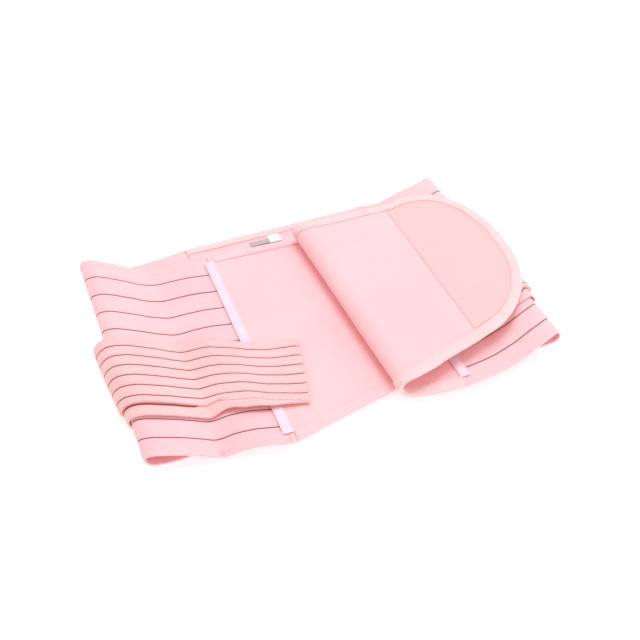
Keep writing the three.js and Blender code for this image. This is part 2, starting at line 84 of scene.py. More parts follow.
BACK_LEFT = 86
BACK_REACH = 78
BACK_RIGHT = LOOP_LENGTH - BACK_REACH
BACK_TRIM = 2
BACK_WIDTH = BELT_WIDTH - BACK_TRIM
BACK_NEAR = -2
FRONT_LENGTH = 160
FRONT_TIP_WIDTH = 190
FRONT_ROUND = 42
FOLD_REACH = 57
FLAP_REACH = 157.5
FLAP_RISE = 16.5
HOOK_TIP_WIDTH = 179
HOOK_ROUND = 70
ROUND_POWER = 2.2
BINDING_WIDTH = 8.5
HOOK_PATCH_LENGTH = 77.5

TAPE_WIDTH = 8
TAPE_INSET = 8
STRAP_RISE = 4.5
STRAP_END_LEAN = 13
STRAP_END_PIVOT = 0.61
STRAP_KINK_LEAN = 1
STRAP_KINK_PIVOT = 0.3
STRAP_KINK_ROWS = (5, 7)
STRAP_FLAT_ROWS = (9.2, 10.6)
STRAP_CORNER = 3.5
STRAP_HOOK_LENGTH = 18
STRAP_HOOK_MARGIN = 5
TAG_WIDTH = 11
TAG_LENGTH = 12
TAG_X = 159
LABEL_WIDTH = 17
LABEL_LENGTH = 7
LABEL_DROP = 4

BINDING_BUILD = GAP + BINDING_THICK
OVER_STRAP = STRAP_THICK + GAP + ELASTIC_THICK / 2
OVER_LOOP = OVER_STRAP + ELASTIC_THICK + GAP
BACK_MIDDLE = PANEL_THICK / 2 + BINDING_BUILD
PANEL_STEP = PANEL_THICK + 2 * BINDING_BUILD + GAP
OVER_BACK = BACK_MIDDLE + PANEL_STEP
OVER_FRONT = OVER_BACK + PANEL_STEP
SEAM_RIGHT = LOOP_LENGTH - RIGHT_REACH
FLAP_FOLD = SEAM_RIGHT - FOLD_REACH

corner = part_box("back_panel")[0]
ORIGIN = Vector((corner.x / MM - BACK_LEFT - GAP, corner.y / MM - BACK_NEAR, 0))
print("The layout's zero lies at", [round(v, 2) for v in ORIGIN], "mm in the frame")

# %% [markdown]
# ## How the cloth lies
# Each side of the belt is one long band: out from the back seam along the table, round the fold, over
# the top and on into the front panel. It could be bent with curves or lattices, but a short table of
# rows is easier to read and to change. Each row says how far along the belt it is, how much the cloth
# leans there, how high its near and far edges lie, and how far it has slid sideways. Every number is a
# share of a size that is named above. The level is the height at which the cloth lies flat.

# %% Rows of the two bands
ROW = ("x", "lean", "near", "far", "skew")


def cloth_rows(level, *table):
    return [dict(zip(ROW, row), level=level) for row in table]


LEFT_LOOP = cloth_rows(
    OVER_STRAP,
    (0.865, 0, 0, 0, 0.12),
    (0.54, 0, 0, 0, 0.28),
    (0.24, 0, 0, 0, 0.32),
    (0.02, -0.04, 0.1, 0.08, 0.26),
    (-0.033, -0.05, 0.6, 0.62, 0.18),
) + cloth_rows(
    OVER_LOOP,
    (-0.008, -0.05, 0.88, 0.9, 0.24),
    (0.06, -0.04, 1, 1, 0.31),
    (0.26, 0, 0.78, 0.46, 0.49),
    (0.4, 0, 0.42, 0.1, 0.62),
    (0.52, 0, 0.06, 0.01, 0.72),
    (0.66, 0, 0.38, 0.05, 0.78),
    (0.8, 0, 0.5, 0.14, 0.87),
)
FRONT_RUN = cloth_rows(
    OVER_BACK,
    (0, 0, 0.07, 0.04, 1),
    (0.13, 0, 0, 0, 0.92),
    (0.29, 0, 0, 0, 0.83),
    (0.51, 0, 0, 0, 0.73),
    (1, 0, 0, 0, 0.52),
)
RIGHT_LOOP = cloth_rows(
    OVER_STRAP,
    (0.868, 0, 0, 0, 0.06),
    (0.5, 0, 0, 0, 0.19),
    (0.22, 0, 0, 0, 0.25),
    (0.045, -0.02, 0.04, 0.06, 0.23),
    (-0.005, -0.03, 0.5, 0.6, 0.2),
) + cloth_rows(
    OVER_LOOP,
    (0.04, -0.03, 0.88, 0.88, 0.23),
    (0.11, -0.02, 1, 1, 0.33),
    (0.25, 0, 0.78, 0.95, 0.46),
    (0.42, 0, 0.44, 0.97, 0.61),
    (0.58, 0, 0.42, 0.94, 0.75),
    (0.76, 0, 0.62, 0.86, 0.9),
)
HOOK_RUN = cloth_rows(
    OVER_FRONT,
    (0, 0, 0, 0.06, 1),
    (0.42, 0, 0, 0.02, 1.05),
    (0.8, -0.14, 0, 0, 1.04),
    (0.95, -0.15, 0.17, 0.17, 0.98),
    (0.99, -0.15, 0.45, 0.5, 0.96),
)
FLAP_RUN = cloth_rows(
    OVER_FRONT,
    (0.025, -0.055, 0.78, 0.86, 0.99),
    (0.08, -0.05, 0.88, 1, 1),
    (0.18, -0.03, 0.85, 0.97, 0.96),
    (0.34, 0, 0.8, 0.92, 0.81),
    (0.5, 0, 0.75, 0.88, 0.67),
    (0.68, 0, 0.7, 0.86, 0.4),
    (0.84, 0, 0.62, 0.84, 0.18),
    (1, 0, 0.55, 0.82, 0.08),
)
print("Rows:", len(LEFT_LOOP) + len(FRONT_RUN), "left,",
      len(RIGHT_LOOP) + len(HOOK_RUN) + len(FLAP_RUN), "right")

# %% [markdown]
# Between two rows the cloth runs on a smooth curve that never overshoots, because cloth that rests on a
# table can't dip below it. A band then answers one question: where does the point of the cloth that is
# s along it and w across it lie? That is all that a flat cut needs to be draped.


# %% From rows to a band of cloth
def between(rows, column, u):
    last = len(rows) - 1
    i = min(max(math.floor(u), 0), last - 1)
    f = u - i

    def step(k):
        return rows[k + 1][column] - rows[k][column]

    def slope(k):
        if k == 0 or k == last:
            return step(min(k, last - 1))
        product = step(k - 1) * step(k)
        return 2 * product / (step(k - 1) + step(k)) if product > 0 else 0

    return (
        rows[i][column] * (1 + 2 * f) * (1 - f) ** 2
        + slope(i) * f * (1 - f) ** 2
        + rows[i + 1][column] * f * f * (3 - 2 * f)
        + slope(i + 1) * f * f * (f - 1)
    )


def laid(rows, start, reach, skew, near_rise, far_rise):
    return [
        dict(
            x=start + row["x"] * reach,
            lean=row["lean"] * abs(reach),
            y=-row["skew"] * skew,
            near=row["level"] + row["near"] * near_rise,
            far=row["level"] + row["far"] * far_rise,
        )
        for row in rows
    ]


FINER = 24  # short straight steps between two rows, to measure the cloth's length
NEARBY = 0.02  # rows before and after a point, to find which way the cloth faces there


def band(rows, facing):
    @lru_cache(maxsize=None)
    def section(u):
        return [between(rows, column, u) for column in ("x", "lean", "y", "near", "far")]

    def at(u, w):
        x, lean, y, near, far = section(u)
        share = w / BELT_WIDTH
        return Vector((x + lean * (share - 0.5), y + w, near + (far - near) * share))

    lengths = [0.0]
    for k in range(1, (len(rows) - 1) * FINER + 1):
        piece = at(k / FINER, BELT_WIDTH / 2) - at((k - 1) / FINER, BELT_WIDTH / 2)
        lengths.append(lengths[-1] + math.hypot(piece.x, piece.z))

    def length_to(u):
        k = min(int(u * FINER), len(lengths) - 2)
        return lengths[k] + (lengths[k + 1] - lengths[k]) * (u * FINER - k)

    def row_at(s):
        k = min(max(bisect_left(lengths, s) - 1, 0), len(lengths) - 2)
        return (k + (s - lengths[k]) / (lengths[k + 1] - lengths[k])) / FINER

    def place(s, w, out=0.0):
        u = row_at(s)
        run = at(u + NEARBY, w) - at(u - NEARBY, w)
        outward = Vector((-run.z, 0, run.x)).normalized() * facing
        return (at(u, w) + outward * out + ORIGIN) * MM

    return SimpleNamespace(place=place, length_to=length_to, row_at=row_at, rows=rows)


left_band = band(
    laid(LEFT_LOOP, 0, LEFT_REACH, LEFT_SKEW, LEFT_CREST_NEAR, LEFT_CREST_FAR)
    + laid(FRONT_RUN, LEFT_REACH, FRONT_LENGTH, LEFT_SKEW, LEFT_CREST_NEAR, LEFT_CREST_FAR),
    1,
)
right_band = band(
    laid(RIGHT_LOOP, LOOP_LENGTH, -RIGHT_REACH, RIGHT_SKEW, RIGHT_CREST_NEAR, RIGHT_CREST_FAR)
    + laid(HOOK_RUN, SEAM_RIGHT, -FOLD_REACH, RIGHT_SKEW, FLAP_RISE, FLAP_RISE)
    + laid(FLAP_RUN, FLAP_FOLD, FLAP_REACH, RIGHT_SKEW, FLAP_RISE, FLAP_RISE),
    -1,
)
left_seam = left_band.length_to(len(LEFT_LOOP))
right_seam = right_band.length_to(len(RIGHT_LOOP))
print(f"Elastic cloth: left {left_seam:.0f} mm, right {right_seam:.0f} mm")


def back_place(s, w, out=0.0):
    return (Vector((s, BACK_NEAR + w, BACK_MIDDLE + out)) + ORIGIN) * MM


# %% [markdown]
# ## Shader groups
# Several finishes share the same effects: woven lines, ribs, a brushed pile, hook dots and a mottled
# tint. Each effect is a node group with named inputs, built once. The groups put out only masks and
# heights that change over the surface, and each material keeps its own shader. Patterns read the UV map,
# which is the flat cut in metres, so the weave follows every fold.


# %% Helpers for node groups
def socket_value(tree, node, key, value):
    if isinstance(value, bpy.types.NodeSocket):
        tree.links.new(value, node.inputs[key])
    elif value is not None:
        node.inputs[key].default_value = value


def calc(tree, operation, a, b=None, c=None, clamp=False):
    node = tree.nodes.new("ShaderNodeMath")
    node.operation = operation
    node.use_clamp = clamp
    for key, value in enumerate((a, b, c)):
        socket_value(tree, node, key, value)
    return node.outputs[0]


def noise_field(tree, vector, scale, detail=3.0):
    node = tree.nodes.new("ShaderNodeTexNoise")
    socket_value(tree, node, "Vector", vector)
    socket_value(tree, node, "Scale", scale)
    node.inputs["Detail"].default_value = detail
    return node.outputs["Fac"]


def new_group(name, inputs, outputs):
    group = bpy.data.node_groups.new(name, "ShaderNodeTree")
    for label, kind, value in inputs:
        socket = group.interface.new_socket(name=label, in_out="INPUT", socket_type=kind)
        if value is not None:
            socket.default_value = value
    for label in outputs:
        group.interface.new_socket(name=label, in_out="OUTPUT", socket_type="NodeSocketFloat")
    return group, group.nodes.new("NodeGroupInput").outputs, group.nodes.new("NodeGroupOutput").inputs


NUMBER = "NodeSocketFloat"
POINT = "NodeSocketVector"

# %% [markdown]
# The thin dark lines are yarns woven into the elastic at an even pitch. One group finds the distance to
# the nearest line and turns it into a mask for the colour and a wider one for the groove's dip and painted
# shade.

# %% Woven lines
LINE_SHARPNESS = 1.6
GROOVE_SPREAD = 3.0
woven_lines, given, result = new_group(
    "woven_lines",
    [("Across", NUMBER, 0.0), ("First", NUMBER, 0.01), ("Pitch", NUMBER, 0.01),
     ("Last", NUMBER, 0.1), ("Width", NUMBER, 0.0008), ("Wander", NUMBER, 0.0)],
    ["Line", "Groove"],
)
do = partial(calc, woven_lines)
moved = do("ADD", given["Across"], given["Wander"])
turn = do("DIVIDE", do("SUBTRACT", moved, given["First"]), given["Pitch"])
to_line = do("MULTIPLY", do("PINGPONG", turn, 0.5), given["Pitch"])
half_pitch = do("MULTIPLY", given["Pitch"], 0.5)
after_first = do("GREATER_THAN", moved, do("SUBTRACT", given["First"], half_pitch))
before_last = do("LESS_THAN", moved, do("ADD", given["Last"], half_pitch))
inside = do("MULTIPLY", after_first, before_last)
narrow = do("DIVIDE", to_line, given["Width"])
sharp = do("MULTIPLY", do("SUBTRACT", 1.0, narrow, clamp=True), LINE_SHARPNESS, clamp=True)
wide = do("SUBTRACT", 1.0, do("DIVIDE", narrow, GROOVE_SPREAD), clamp=True)
woven_lines.links.new(do("MULTIPLY", sharp, inside), result["Line"])
woven_lines.links.new(do("MULTIPLY", wide, inside), result["Groove"])
print("Group", woven_lines.name, "has", len(woven_lines.nodes), "nodes")

# %% [markdown]
# Elastic webbing shows fine ribs along it and tiny picks across it. Two sine waves, one for each
# direction, give that relief for every woven or knitted finish here, each at its own pitch.

# %% Ribs and picks
ribs_and_picks, given, result = new_group(
    "ribs_and_picks",
    [("Along", NUMBER, 0.0), ("Across", NUMBER, 0.0), ("Rib Pitch", NUMBER, 0.0015),
     ("Pick Pitch", NUMBER, 0.0009), ("Pick Share", NUMBER, 0.4)],
    ["Height", "Rib"],
)
do = partial(calc, ribs_and_picks)
rib_turn = do("MULTIPLY", do("DIVIDE", given["Across"], given["Rib Pitch"]), math.tau)
rib = do("MULTIPLY_ADD", do("SINE", rib_turn), 0.5, 0.5)
pick_turn = do("MULTIPLY", do("DIVIDE", given["Along"], given["Pick Pitch"]), math.tau)
half_turn = do("MULTIPLY_ADD", rib, math.pi, pick_turn)
pick = do("MULTIPLY_ADD", do("SINE", half_turn), 0.5, 0.5)
ribs_and_picks.links.new(do("MULTIPLY_ADD", pick, given["Pick Share"], rib), result["Height"])
ribs_and_picks.links.new(rib, result["Rib"])
print("Group", ribs_and_picks.name, "has", len(ribs_and_picks.nodes), "nodes")

# %% [markdown]
# Brushed knit has a short pile that lies in soft patches, and dyed cloth is never quite one tint. Noise
# at two sizes gives both: a fine one for the pile's height and a broad one for the tint.

# %% Brushed pile and uneven dye
PATCH_SHARE = 0.8
DYE_CONTRAST, DYE_OFFSET = 2.2, -0.6
brushed_pile, given, result = new_group(
    "brushed_pile",
    [("Point", POINT, None), ("Pile Scale", NUMBER, 1400.0), ("Patch Scale", NUMBER, 60.0),
     ("Dye Scale", NUMBER, 18.0)],
    ["Height", "Dye"],
)
do = partial(calc, brushed_pile)
pile = noise_field(brushed_pile, given["Point"], given["Pile Scale"])
patch = noise_field(brushed_pile, given["Point"], given["Patch Scale"])
brushed_pile.links.new(do("MULTIPLY_ADD", patch, PATCH_SHARE, pile), result["Height"])
dye = noise_field(brushed_pile, given["Point"], given["Dye Scale"], 2.0)
brushed_pile.links.new(do("MULTIPLY_ADD", dye, DYE_CONTRAST, DYE_OFFSET, clamp=True), result["Dye"])
print("Group", brushed_pile.name, "has", len(brushed_pile.nodes), "nodes")

# %% [markdown]
# Hook fastener is a field of tiny moulded hooks in rows. Up close each hook is a dot, so a grid of dots
# in the flat cut's own directions does it.

# %% Hook dots
hook_dots, given, result = new_group(
    "hook_dots",
    [("Along", NUMBER, 0.0), ("Across", NUMBER, 0.0), ("Pitch", NUMBER, 0.0012)],
    ["Dot"],
)
do = partial(calc, hook_dots)
waves = []
for way in ("Along", "Across"):
    turn = do("MULTIPLY", do("DIVIDE", given[way], given["Pitch"]), math.tau)
    waves.append(do("MULTIPLY_ADD", do("SINE", turn), 0.5, 0.5))
hook_dots.links.new(do("MULTIPLY", *waves), result["Dot"])
print("Group", hook_dots.name, "has", len(hook_dots.nodes), "nodes")


# %% [markdown]
# ## Finishes
# A finish is built in three steps: read the cloth's own coordinates, tint the base colour, and feed a
# height into a bump. The class below does the wiring that every finish shares. Roughness and sheen are
# the same all over a cloth, so they are set straight on the shader. Light that bounces between folds of
# pink cloth makes the shadows in the picture warm, and a very faint warm glow stands in for it.


# %% A cloth material
def linear(red, green, blue):
    """A screen colour from 0 to 255 as the linear colour that the shader wants."""
    def channel(value):
        value /= 255
        return value / 12.92 if value <= 0.04045 else ((value + 0.055) / 1.055) ** 2.4
    return (channel(red), channel(green), channel(blue), 1.0)


# Painted light: every pink cloth glows faintly coral (the emission below), which warms and lifts its
# shadows.
PAINTED_SHADE_GLOW = 0.06
EVERY_CLOTH = {  # a little light goes through it, and it has hardly any gloss
    "Specular IOR Level": 0.2,
    "Subsurface Weight": 0.15,
    "Subsurface Radius": (1.0, 0.35, 0.35),
    "Subsurface Scale": 0.003,
    "Emission Color": (1.0, 0.14, 0.07, 1.0),
}


def set_inputs(shader, values):
    for key, value in values.items():
        shader.inputs[key].default_value = value


class Finish:
    def __init__(self, name, colour, roughness, sheen, glow=PAINTED_SHADE_GLOW):
        self.material = bpy.data.materials.new(name)
        self.material.use_nodes = True
        self.tree = self.material.node_tree
        self.shader = self.tree.nodes["Principled BSDF"]
        set_inputs(self.shader, {"Base Color": colour, "Roughness": roughness, "Sheen Weight": sheen,
                                 "Emission Strength": glow, **EVERY_CLOTH})
        self.colour = colour
        self.point = self.tree.nodes.new("ShaderNodeTexCoord").outputs["Object"]
        flat = self.tree.nodes.new("ShaderNodeUVMap")
        flat.uv_map = "cloth"
        split = self.tree.nodes.new("ShaderNodeSeparateXYZ")
        self.tree.links.new(flat.outputs["UV"], split.inputs[0])
        self.along, self.across = split.outputs["X"], split.outputs["Y"]

    def group(self, group, **values):
        node = self.tree.nodes.new("ShaderNodeGroup")
        node.node_tree = group
        for key, value in values.items():
            socket_value(self.tree, node, key.replace("_", " "), value)
        return node.outputs

    def tint(self, mask, colour, share=1.0):
        mix = self.tree.nodes.new("ShaderNodeMix")
        mix.data_type = "RGBA"
        socket_value(self.tree, mix, "Factor", calc(self.tree, "MULTIPLY", mask, share))
        socket_value(self.tree, mix, 6, self.colour)
        socket_value(self.tree, mix, 7, colour)
        self.colour = mix.outputs[2]
        self.tree.links.new(self.colour, self.shader.inputs["Base Color"])

    def dyed(self, colour, share, **scales):
        """Tints the finish in soft patches, and gives the height of its pile."""
        pile = self.group(brushed_pile, Point=self.point, **scales)
        self.tint(pile["Dye"], colour, share)
        return pile["Height"]

    def weave(self, rib_pitch, pick_pitch, pick_share):
        return self.group(ribs_and_picks, Along=self.along, Across=self.across, Rib_Pitch=rib_pitch * MM,
                          Pick_Pitch=pick_pitch * MM, Pick_Share=pick_share)

    def blend(self, height, share, other):
        return calc(self.tree, "MULTIPLY_ADD", height, share, other)

    def bump(self, height, depth_mm, strength):
        node = self.tree.nodes.new("ShaderNodeBump")
        set_inputs(node, {"Distance": depth_mm * MM, "Strength": strength})
        self.tree.links.new(height, node.inputs["Height"])
        self.tree.links.new(node.outputs["Normal"], self.shader.inputs["Normal"])


# %% [markdown]
# The panels are smooth brushed knit bonded to foam: a light, slightly cool pink, quite matt.

# %% Panel knit
panel_knit = Finish("panel_knit", linear(254, 206, 210), 0.85, 0.25)
pile = panel_knit.dyed(linear(253, 197, 203), 0.6)
knit = panel_knit.weave(1.1, 0.8, 0.6)
panel_knit.bump(panel_knit.blend(knit["Height"], 0.3, pile), 0.12, 0.55)
print("Panel knit has", len(panel_knit.tree.nodes), "nodes")

# %% [markdown]
# The body elastic has dark lines about 20 mm apart, and fine ribs between them. The lines wander by a
# fraction of a millimetre, as woven lines do when the elastic relaxes.

# %% Body elastic
LINE_FIRST = 16.5
LINE_PITCH = 20.2
LINE_COUNT = 10
LINE_LAST = LINE_FIRST + LINE_PITCH * (LINE_COUNT - 1)
WANDER = 0.6  # the whole width, in millimetres, within which a line wanders


def elastic_finish(name, colour, shade, line_colour, first, pitch, last, line_width):
    made = Finish(name, colour, 0.8, 0.2)
    pile = made.dyed(shade, 0.5, Dye_Scale=26.0)
    ribs = made.weave(1.7, 1.0, 0.45)
    # Painted shade: the hollows between the ribs are tinted darker.
    made.tint(calc(made.tree, "SUBTRACT", 1.0, ribs["Rib"]), shade, 0.45)
    wander = made.blend(noise_field(made.tree, made.point, 35.0), WANDER * MM, -WANDER * MM / 2)
    lines = made.group(woven_lines, Across=made.across, First=first * MM, Pitch=pitch * MM,
                       Last=last * MM, Width=line_width * MM, Wander=wander)
    # Painted shade: the groove beside each woven line is tinted darker.
    made.tint(lines["Groove"], shade, 0.7)
    made.tint(lines["Line"], line_colour, 0.92)
    grooved = made.blend(lines["Groove"], -2.5, ribs["Height"])
    made.bump(made.blend(pile, 0.25, grooved), 0.16, 0.8)
    return made


body_elastic = elastic_finish("body_elastic", linear(252, 210, 215), linear(249, 192, 199),
                              linear(92, 44, 56), LINE_FIRST, LINE_PITCH, LINE_LAST, 0.85)
print("Body elastic lines run from", LINE_FIRST, "to", LINE_LAST, "mm across")

# %% [markdown]
# The straps are a narrower webbing, a little warmer and more closely lined.

# %% Strap webbing
STRAP_FIRST = 9.2
STRAP_PITCH = 10.5
STRAP_LINE_COUNT = 7
STRAP_LAST = STRAP_FIRST + STRAP_PITCH * (STRAP_LINE_COUNT - 1)
strap_webbing = elastic_finish("strap_webbing", linear(253, 208, 209), linear(249, 188, 190),
                               linear(112, 50, 54), STRAP_FIRST, STRAP_PITCH, STRAP_LAST, 0.9)
print("Strap lines run from", STRAP_FIRST, "to", STRAP_LAST, "mm from its far edge")

# %% [markdown]
# The binding is a folded knit tape, a little lighter than the panels. The ribbon over the seams is
# satin: lilac white, with a low roughness and fine threads across it. The hook fastener is peach, dull
# and rough. The tag, the label and the ribbon are not pink, so they get little of the glow or none.

# %% Binding, ribbon, fastener, tags and thread
bias_binding = Finish("bias_binding", linear(252, 212, 214), 0.75, 0.2)
pile = bias_binding.dyed(linear(250, 201, 203), 0.5, Dye_Scale=45.0)
threads = bias_binding.weave(0.9, 0.7, 0.6)
bias_binding.bump(bias_binding.blend(threads["Height"], 0.6, pile), 0.1, 0.6)

satin_ribbon = Finish("satin_ribbon", linear(253, 224, 238), 0.38, 0.1, PAINTED_SHADE_GLOW / 2)
satin_ribbon.dyed(linear(246, 208, 232), 0.6, Dye_Scale=70.0)
satin_ribbon.bump(satin_ribbon.weave(0.6, 0.9, 0.3)["Height"], 0.06, 0.5)

hook_fastener = Finish("hook_fastener", linear(253, 197, 199), 0.95, 0.1)
pile = hook_fastener.dyed(linear(252, 194, 197), 0.5, Pile_Scale=900.0, Dye_Scale=30.0)
dots = hook_fastener.group(hook_dots, Along=hook_fastener.along, Across=hook_fastener.across,
                           Pitch=1.3 * MM)
hook_fastener.tint(dots["Dot"], linear(253, 208, 210), 0.3)
hook_fastener.bump(hook_fastener.blend(pile, 0.5, dots["Dot"]), 0.2, 0.5)


def blank_weave(name, colour, rib_colour, rib_share):
    made = Finish(name, colour, 0.7, 0.05, 0.0)
    woven = made.weave(0.7, 0.6, 0.8)
    made.tint(woven["Rib"], rib_colour, rib_share)
    made.bump(woven["Height"], 0.06, 0.6)
    return made


blank_tag = blank_weave("blank_tag", linear(246, 246, 246), linear(228, 228, 230), 0.4)
blank_label = blank_weave("blank_label", linear(198, 190, 188), linear(176, 168, 166), 0.5)

sewing_thread = Finish("sewing_thread", linear(250, 214, 220), 0.6, 0.1)
ply = sewing_thread.dyed(linear(240, 190, 198), 0.7, Pile_Scale=2500.0, Dye_Scale=120.0)
sewing_thread.bump(ply, 0.05, 0.6)
finishes = (panel_knit, body_elastic, strap_webbing, bias_binding, satin_ribbon, hook_fastener,
            blank_tag, blank_label, sewing_thread)
print("Finishes:", ", ".join(finish.material.name for finish in finishes))


# %% [markdown]
# ## Cutting and laying cloth
# create_grid gives a flat square of small faces. The square is stretched to the piece's flat cut, that
# flat place is written into the UV map, and then each point goes to where the band says that it lies. A
# Solidify modifier gives the cloth its thickness evenly to both sides, and a small Bevel rounds the cut
# edges. Doing it in this order keeps the weave straight on the cloth however it is folded.

# %% Flat cut, drape, thickness
WELD = 0.02
SLIVER = 0.01
ROUND_OVER = math.radians(60)


def mesh_from(bm, name):
    mesh = bpy.data.meshes.new(name)
    bm.to_mesh(mesh)
    bm.free()
    return mesh


def put_in_scene(name, data):
    thing = bpy.data.objects.new(name, data)
    bpy.context.scene.collection.objects.link(thing)
    return thing


def cut_and_lay(name, columns, rows, flat, place, pattern=None):
    """A mesh of the flat cut flat(a, b), with a and b from 0 to 1, laid by place."""
    bm = bmesh.new()
    bmesh.ops.create_grid(bm, x_segments=columns, y_segments=rows, size=0.5)
    bmesh.ops.translate(bm, verts=bm.verts, vec=(0.5, 0.5, 0))
    uv = bm.loops.layers.uv.new("cloth")
    for face in bm.faces:
        for loop in face.loops:
            a, b = loop.vert.co.x, loop.vert.co.y
            along, across = pattern(a, b) if pattern else flat(a, b)
            loop[uv].uv = (along * MM, across * MM)
    for vert in bm.verts:
        vert.co = place(*flat(vert.co.x, vert.co.y))
    bmesh.ops.remove_doubles(bm, verts=bm.verts, dist=WELD * MM)
    bmesh.ops.dissolve_degenerate(bm, edges=bm.edges, dist=SLIVER * MM)
    return mesh_from(bm, name)


def piece_from(mesh, finish, stands_for=None, thick=None, round_edge=0.0):
    mesh.shade_smooth()
    mesh.materials.append(finish.material)
    piece = put_in_scene(mesh.name, mesh)
    if thick:
        cloth = piece.modifiers.new("thickness", "SOLIDIFY")
        cloth.thickness = thick * MM
        cloth.offset = 0
    if round_edge:
        edge = piece.modifiers.new("rounded_edge", "BEVEL")
        edge.width = round_edge * MM
        edge.segments = 2
        edge.limit_method = "ANGLE"
        edge.angle_limit = ROUND_OVER
    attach(piece, "root")
    if stands_for:
        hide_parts(stands_for)
    print(f"{piece.name}: {len(mesh.polygons)} faces before its thickness")
    return piece


def cloth_area(mesh, across, along):
    """The area of the cloth itself, in m2, before its thickness. It is never more than its flat cut's."""
    return min(sum(face.area for face in mesh.polygons), across * along * MM * MM)


def smooth_step(value, low, high):
    share = min(max((value - low) / (high - low), 0), 1)
    return share * share * (3 - 2 * share)


def ripple(s, w, size, height):
    """A gentle unevenness of the cloth, the same at every run."""
    return noise.noise(Vector((s / size, w / size, height))) * height


PAD_RIPPLE = (45, 0.4)  # size and height, as in the ripples below
THINNER = 0.1  # a small piece is drawn this much thinner than its solid


def pad_wave(s, w):
    """The wide, soft waves of the padding. What is sewn on top of it follows them too."""
    return ripple(s, w, *PAD_RIPPLE)


# %% [markdown]
# ## Body elastics
# Elastic shrinks a little between its woven lines, so each channel swells slightly and each line sits in
# a shallow groove. Along its two long edges the elastic is folded into a hem, one small step higher.
# That relief is real shape here, because it catches the light along every fold. The lines of this belt
# are not quite even: in the middle they lie a few millimetres nearer to its near edge.

# %% The two body elastics
CHANNEL_SWELL = 0.22
SWELL_EDGE = 0.25  # share of a channel, at each side, over which it rises
LINE_GROOVE = 0.2
GROOVE_HALF = 0.9
LINE_SHIFT = 6  # at the middle of the belt, against an even pitch
HEM_WIDTH = 7.5
HEM_STEP = 0.3
HEM_BLUR = 0.5
ELASTIC_COLUMN = 1.6
ELASTIC_ROWS = 168
ELASTIC_RIPPLE = (38, 0.35)
WEBBING_ROUND = 0.35


def channel_relief(across, first, pitch, last):
    if not first - pitch / 2 < across < last + pitch / 2:
        return 0.0
    turn = (across - first) / pitch
    off = abs(turn - round(turn)) * pitch
    swell = CHANNEL_SWELL * min(off / pitch / SWELL_EDGE, 1)
    return swell - LINE_GROOVE * math.exp(-(off / GROOVE_HALF) ** 2)


def line_coordinate(w):
    share = min(max((w - LINE_FIRST) / (LINE_LAST - LINE_FIRST), 0), 1)
    return w + LINE_SHIFT * 4 * share * (1 - share)


def body_elastic_piece(side, loop, seam):
    length = seam - GAP / 2

    def flat(a, b):
        return a * length, b * BELT_WIDTH

    def pattern(a, b):
        return a * length, line_coordinate(b * BELT_WIDTH)

    def place(s, w):
        relief = channel_relief(line_coordinate(w), LINE_FIRST, LINE_PITCH, LINE_LAST)
        to_edge = min(w, BELT_WIDTH - w)
        hem = HEM_STEP * (1 - smooth_step(to_edge, HEM_WIDTH - HEM_BLUR, HEM_WIDTH + HEM_BLUR))
        return loop.place(s, w, relief + ripple(s, w, *ELASTIC_RIPPLE) + hem - CHANNEL_SWELL)

    mesh = cut_and_lay(f"{side}_elastic_cloth", round(length / ELASTIC_COLUMN), ELASTIC_ROWS,
                       flat, place, pattern)
    piece = piece_from(mesh, body_elastic, f"{side}_elastic", ELASTIC_THICK, WEBBING_ROUND)


body_elastic_piece("left", left_band, left_seam)
body_elastic_piece("right", right_band, right_seam)


# %% [markdown]
# ## Padded panels
# A front panel is a tongue: it tapers from the belt's width and ends round. Its outline is one function
# of the distance from the seam, so the same outline cuts the panel, guides the binding round its edge
# and places the hook fastener. Towards the round end the columns come closer, because the edge turns
# faster there.


# %% Tongue outlines
TIP_BEND = 1.6  # the share of columns that the round end gets, against its reach


def tongue(length, tip_width, rounding):
    straight = length - rounding

    def half(d):
        taper = (BELT_WIDTH + (tip_width - BELT_WIDTH) * min(d / straight, 1)) / 2
        past = min(max((d - straight) / rounding, 0), 1)
        return taper * (1 - past ** ROUND_POWER) ** (1 / ROUND_POWER)

    def distance(share):
        """From 0 to 1 along the tongue, closer together round its tip."""
        turn = straight / (straight + rounding * TIP_BEND)
        if share <= turn:
            return straight * share / turn
        return straight + rounding * math.sin((share - turn) / (1 - turn) * math.pi / 2)

    return SimpleNamespace(length=length, half=half, distance=distance)


front_length = left_band.length_to(len(left_band.rows) - 1) - left_seam
hook_length = right_band.length_to(len(right_band.rows) - 1) - right_seam
front_tongue = tongue(front_length, FRONT_TIP_WIDTH, FRONT_ROUND)
hook_tongue = tongue(hook_length, HOOK_TIP_WIDTH, HOOK_ROUND)
print(f"Front panel {front_tongue.length:.0f} mm long, hook panel {hook_tongue.length:.0f} mm")

# %% [markdown]
# The padding is thin foam. Near the binding the stitches pull the surface down in small puckers, and in
# the middle it lies in soft, wide waves. Both are moved into the mesh, so they show at the edges too.

# %% Front and hook panels
PUCKER_REACH = 14
PUCKER_SIZE = 5
PUCKER_HEIGHT = 0.28
PANEL_GRID = (124, 112)
PANEL_ROUND = 0.6


def padded_relief(s, w, to_edge):
    pull = max(0.0, 1 - to_edge / PUCKER_REACH)
    pucker = noise.noise(Vector((s / PUCKER_SIZE, w / PUCKER_SIZE, 2.0))) * PUCKER_HEIGHT * pull * pull
    return pucker + pad_wave(s, w)


def padded_panel(name, node, loop, seam, shape):
    def flat(a, b):
        d = max(shape.distance(a), GAP / 2)
        return seam + d, BELT_WIDTH / 2 + shape.half(d) * (2 * b - 1)

    def place(s, w):
        to_edge = shape.half(min(s - seam, shape.length)) - abs(w - BELT_WIDTH / 2)
        return loop.place(s, w, padded_relief(s, w, to_edge))

    mesh = cut_and_lay(name, *PANEL_GRID, flat, place)
    piece = piece_from(mesh, panel_knit, node, PANEL_THICK, PANEL_ROUND)
    cloth_area(mesh, BELT_WIDTH, shape.length)


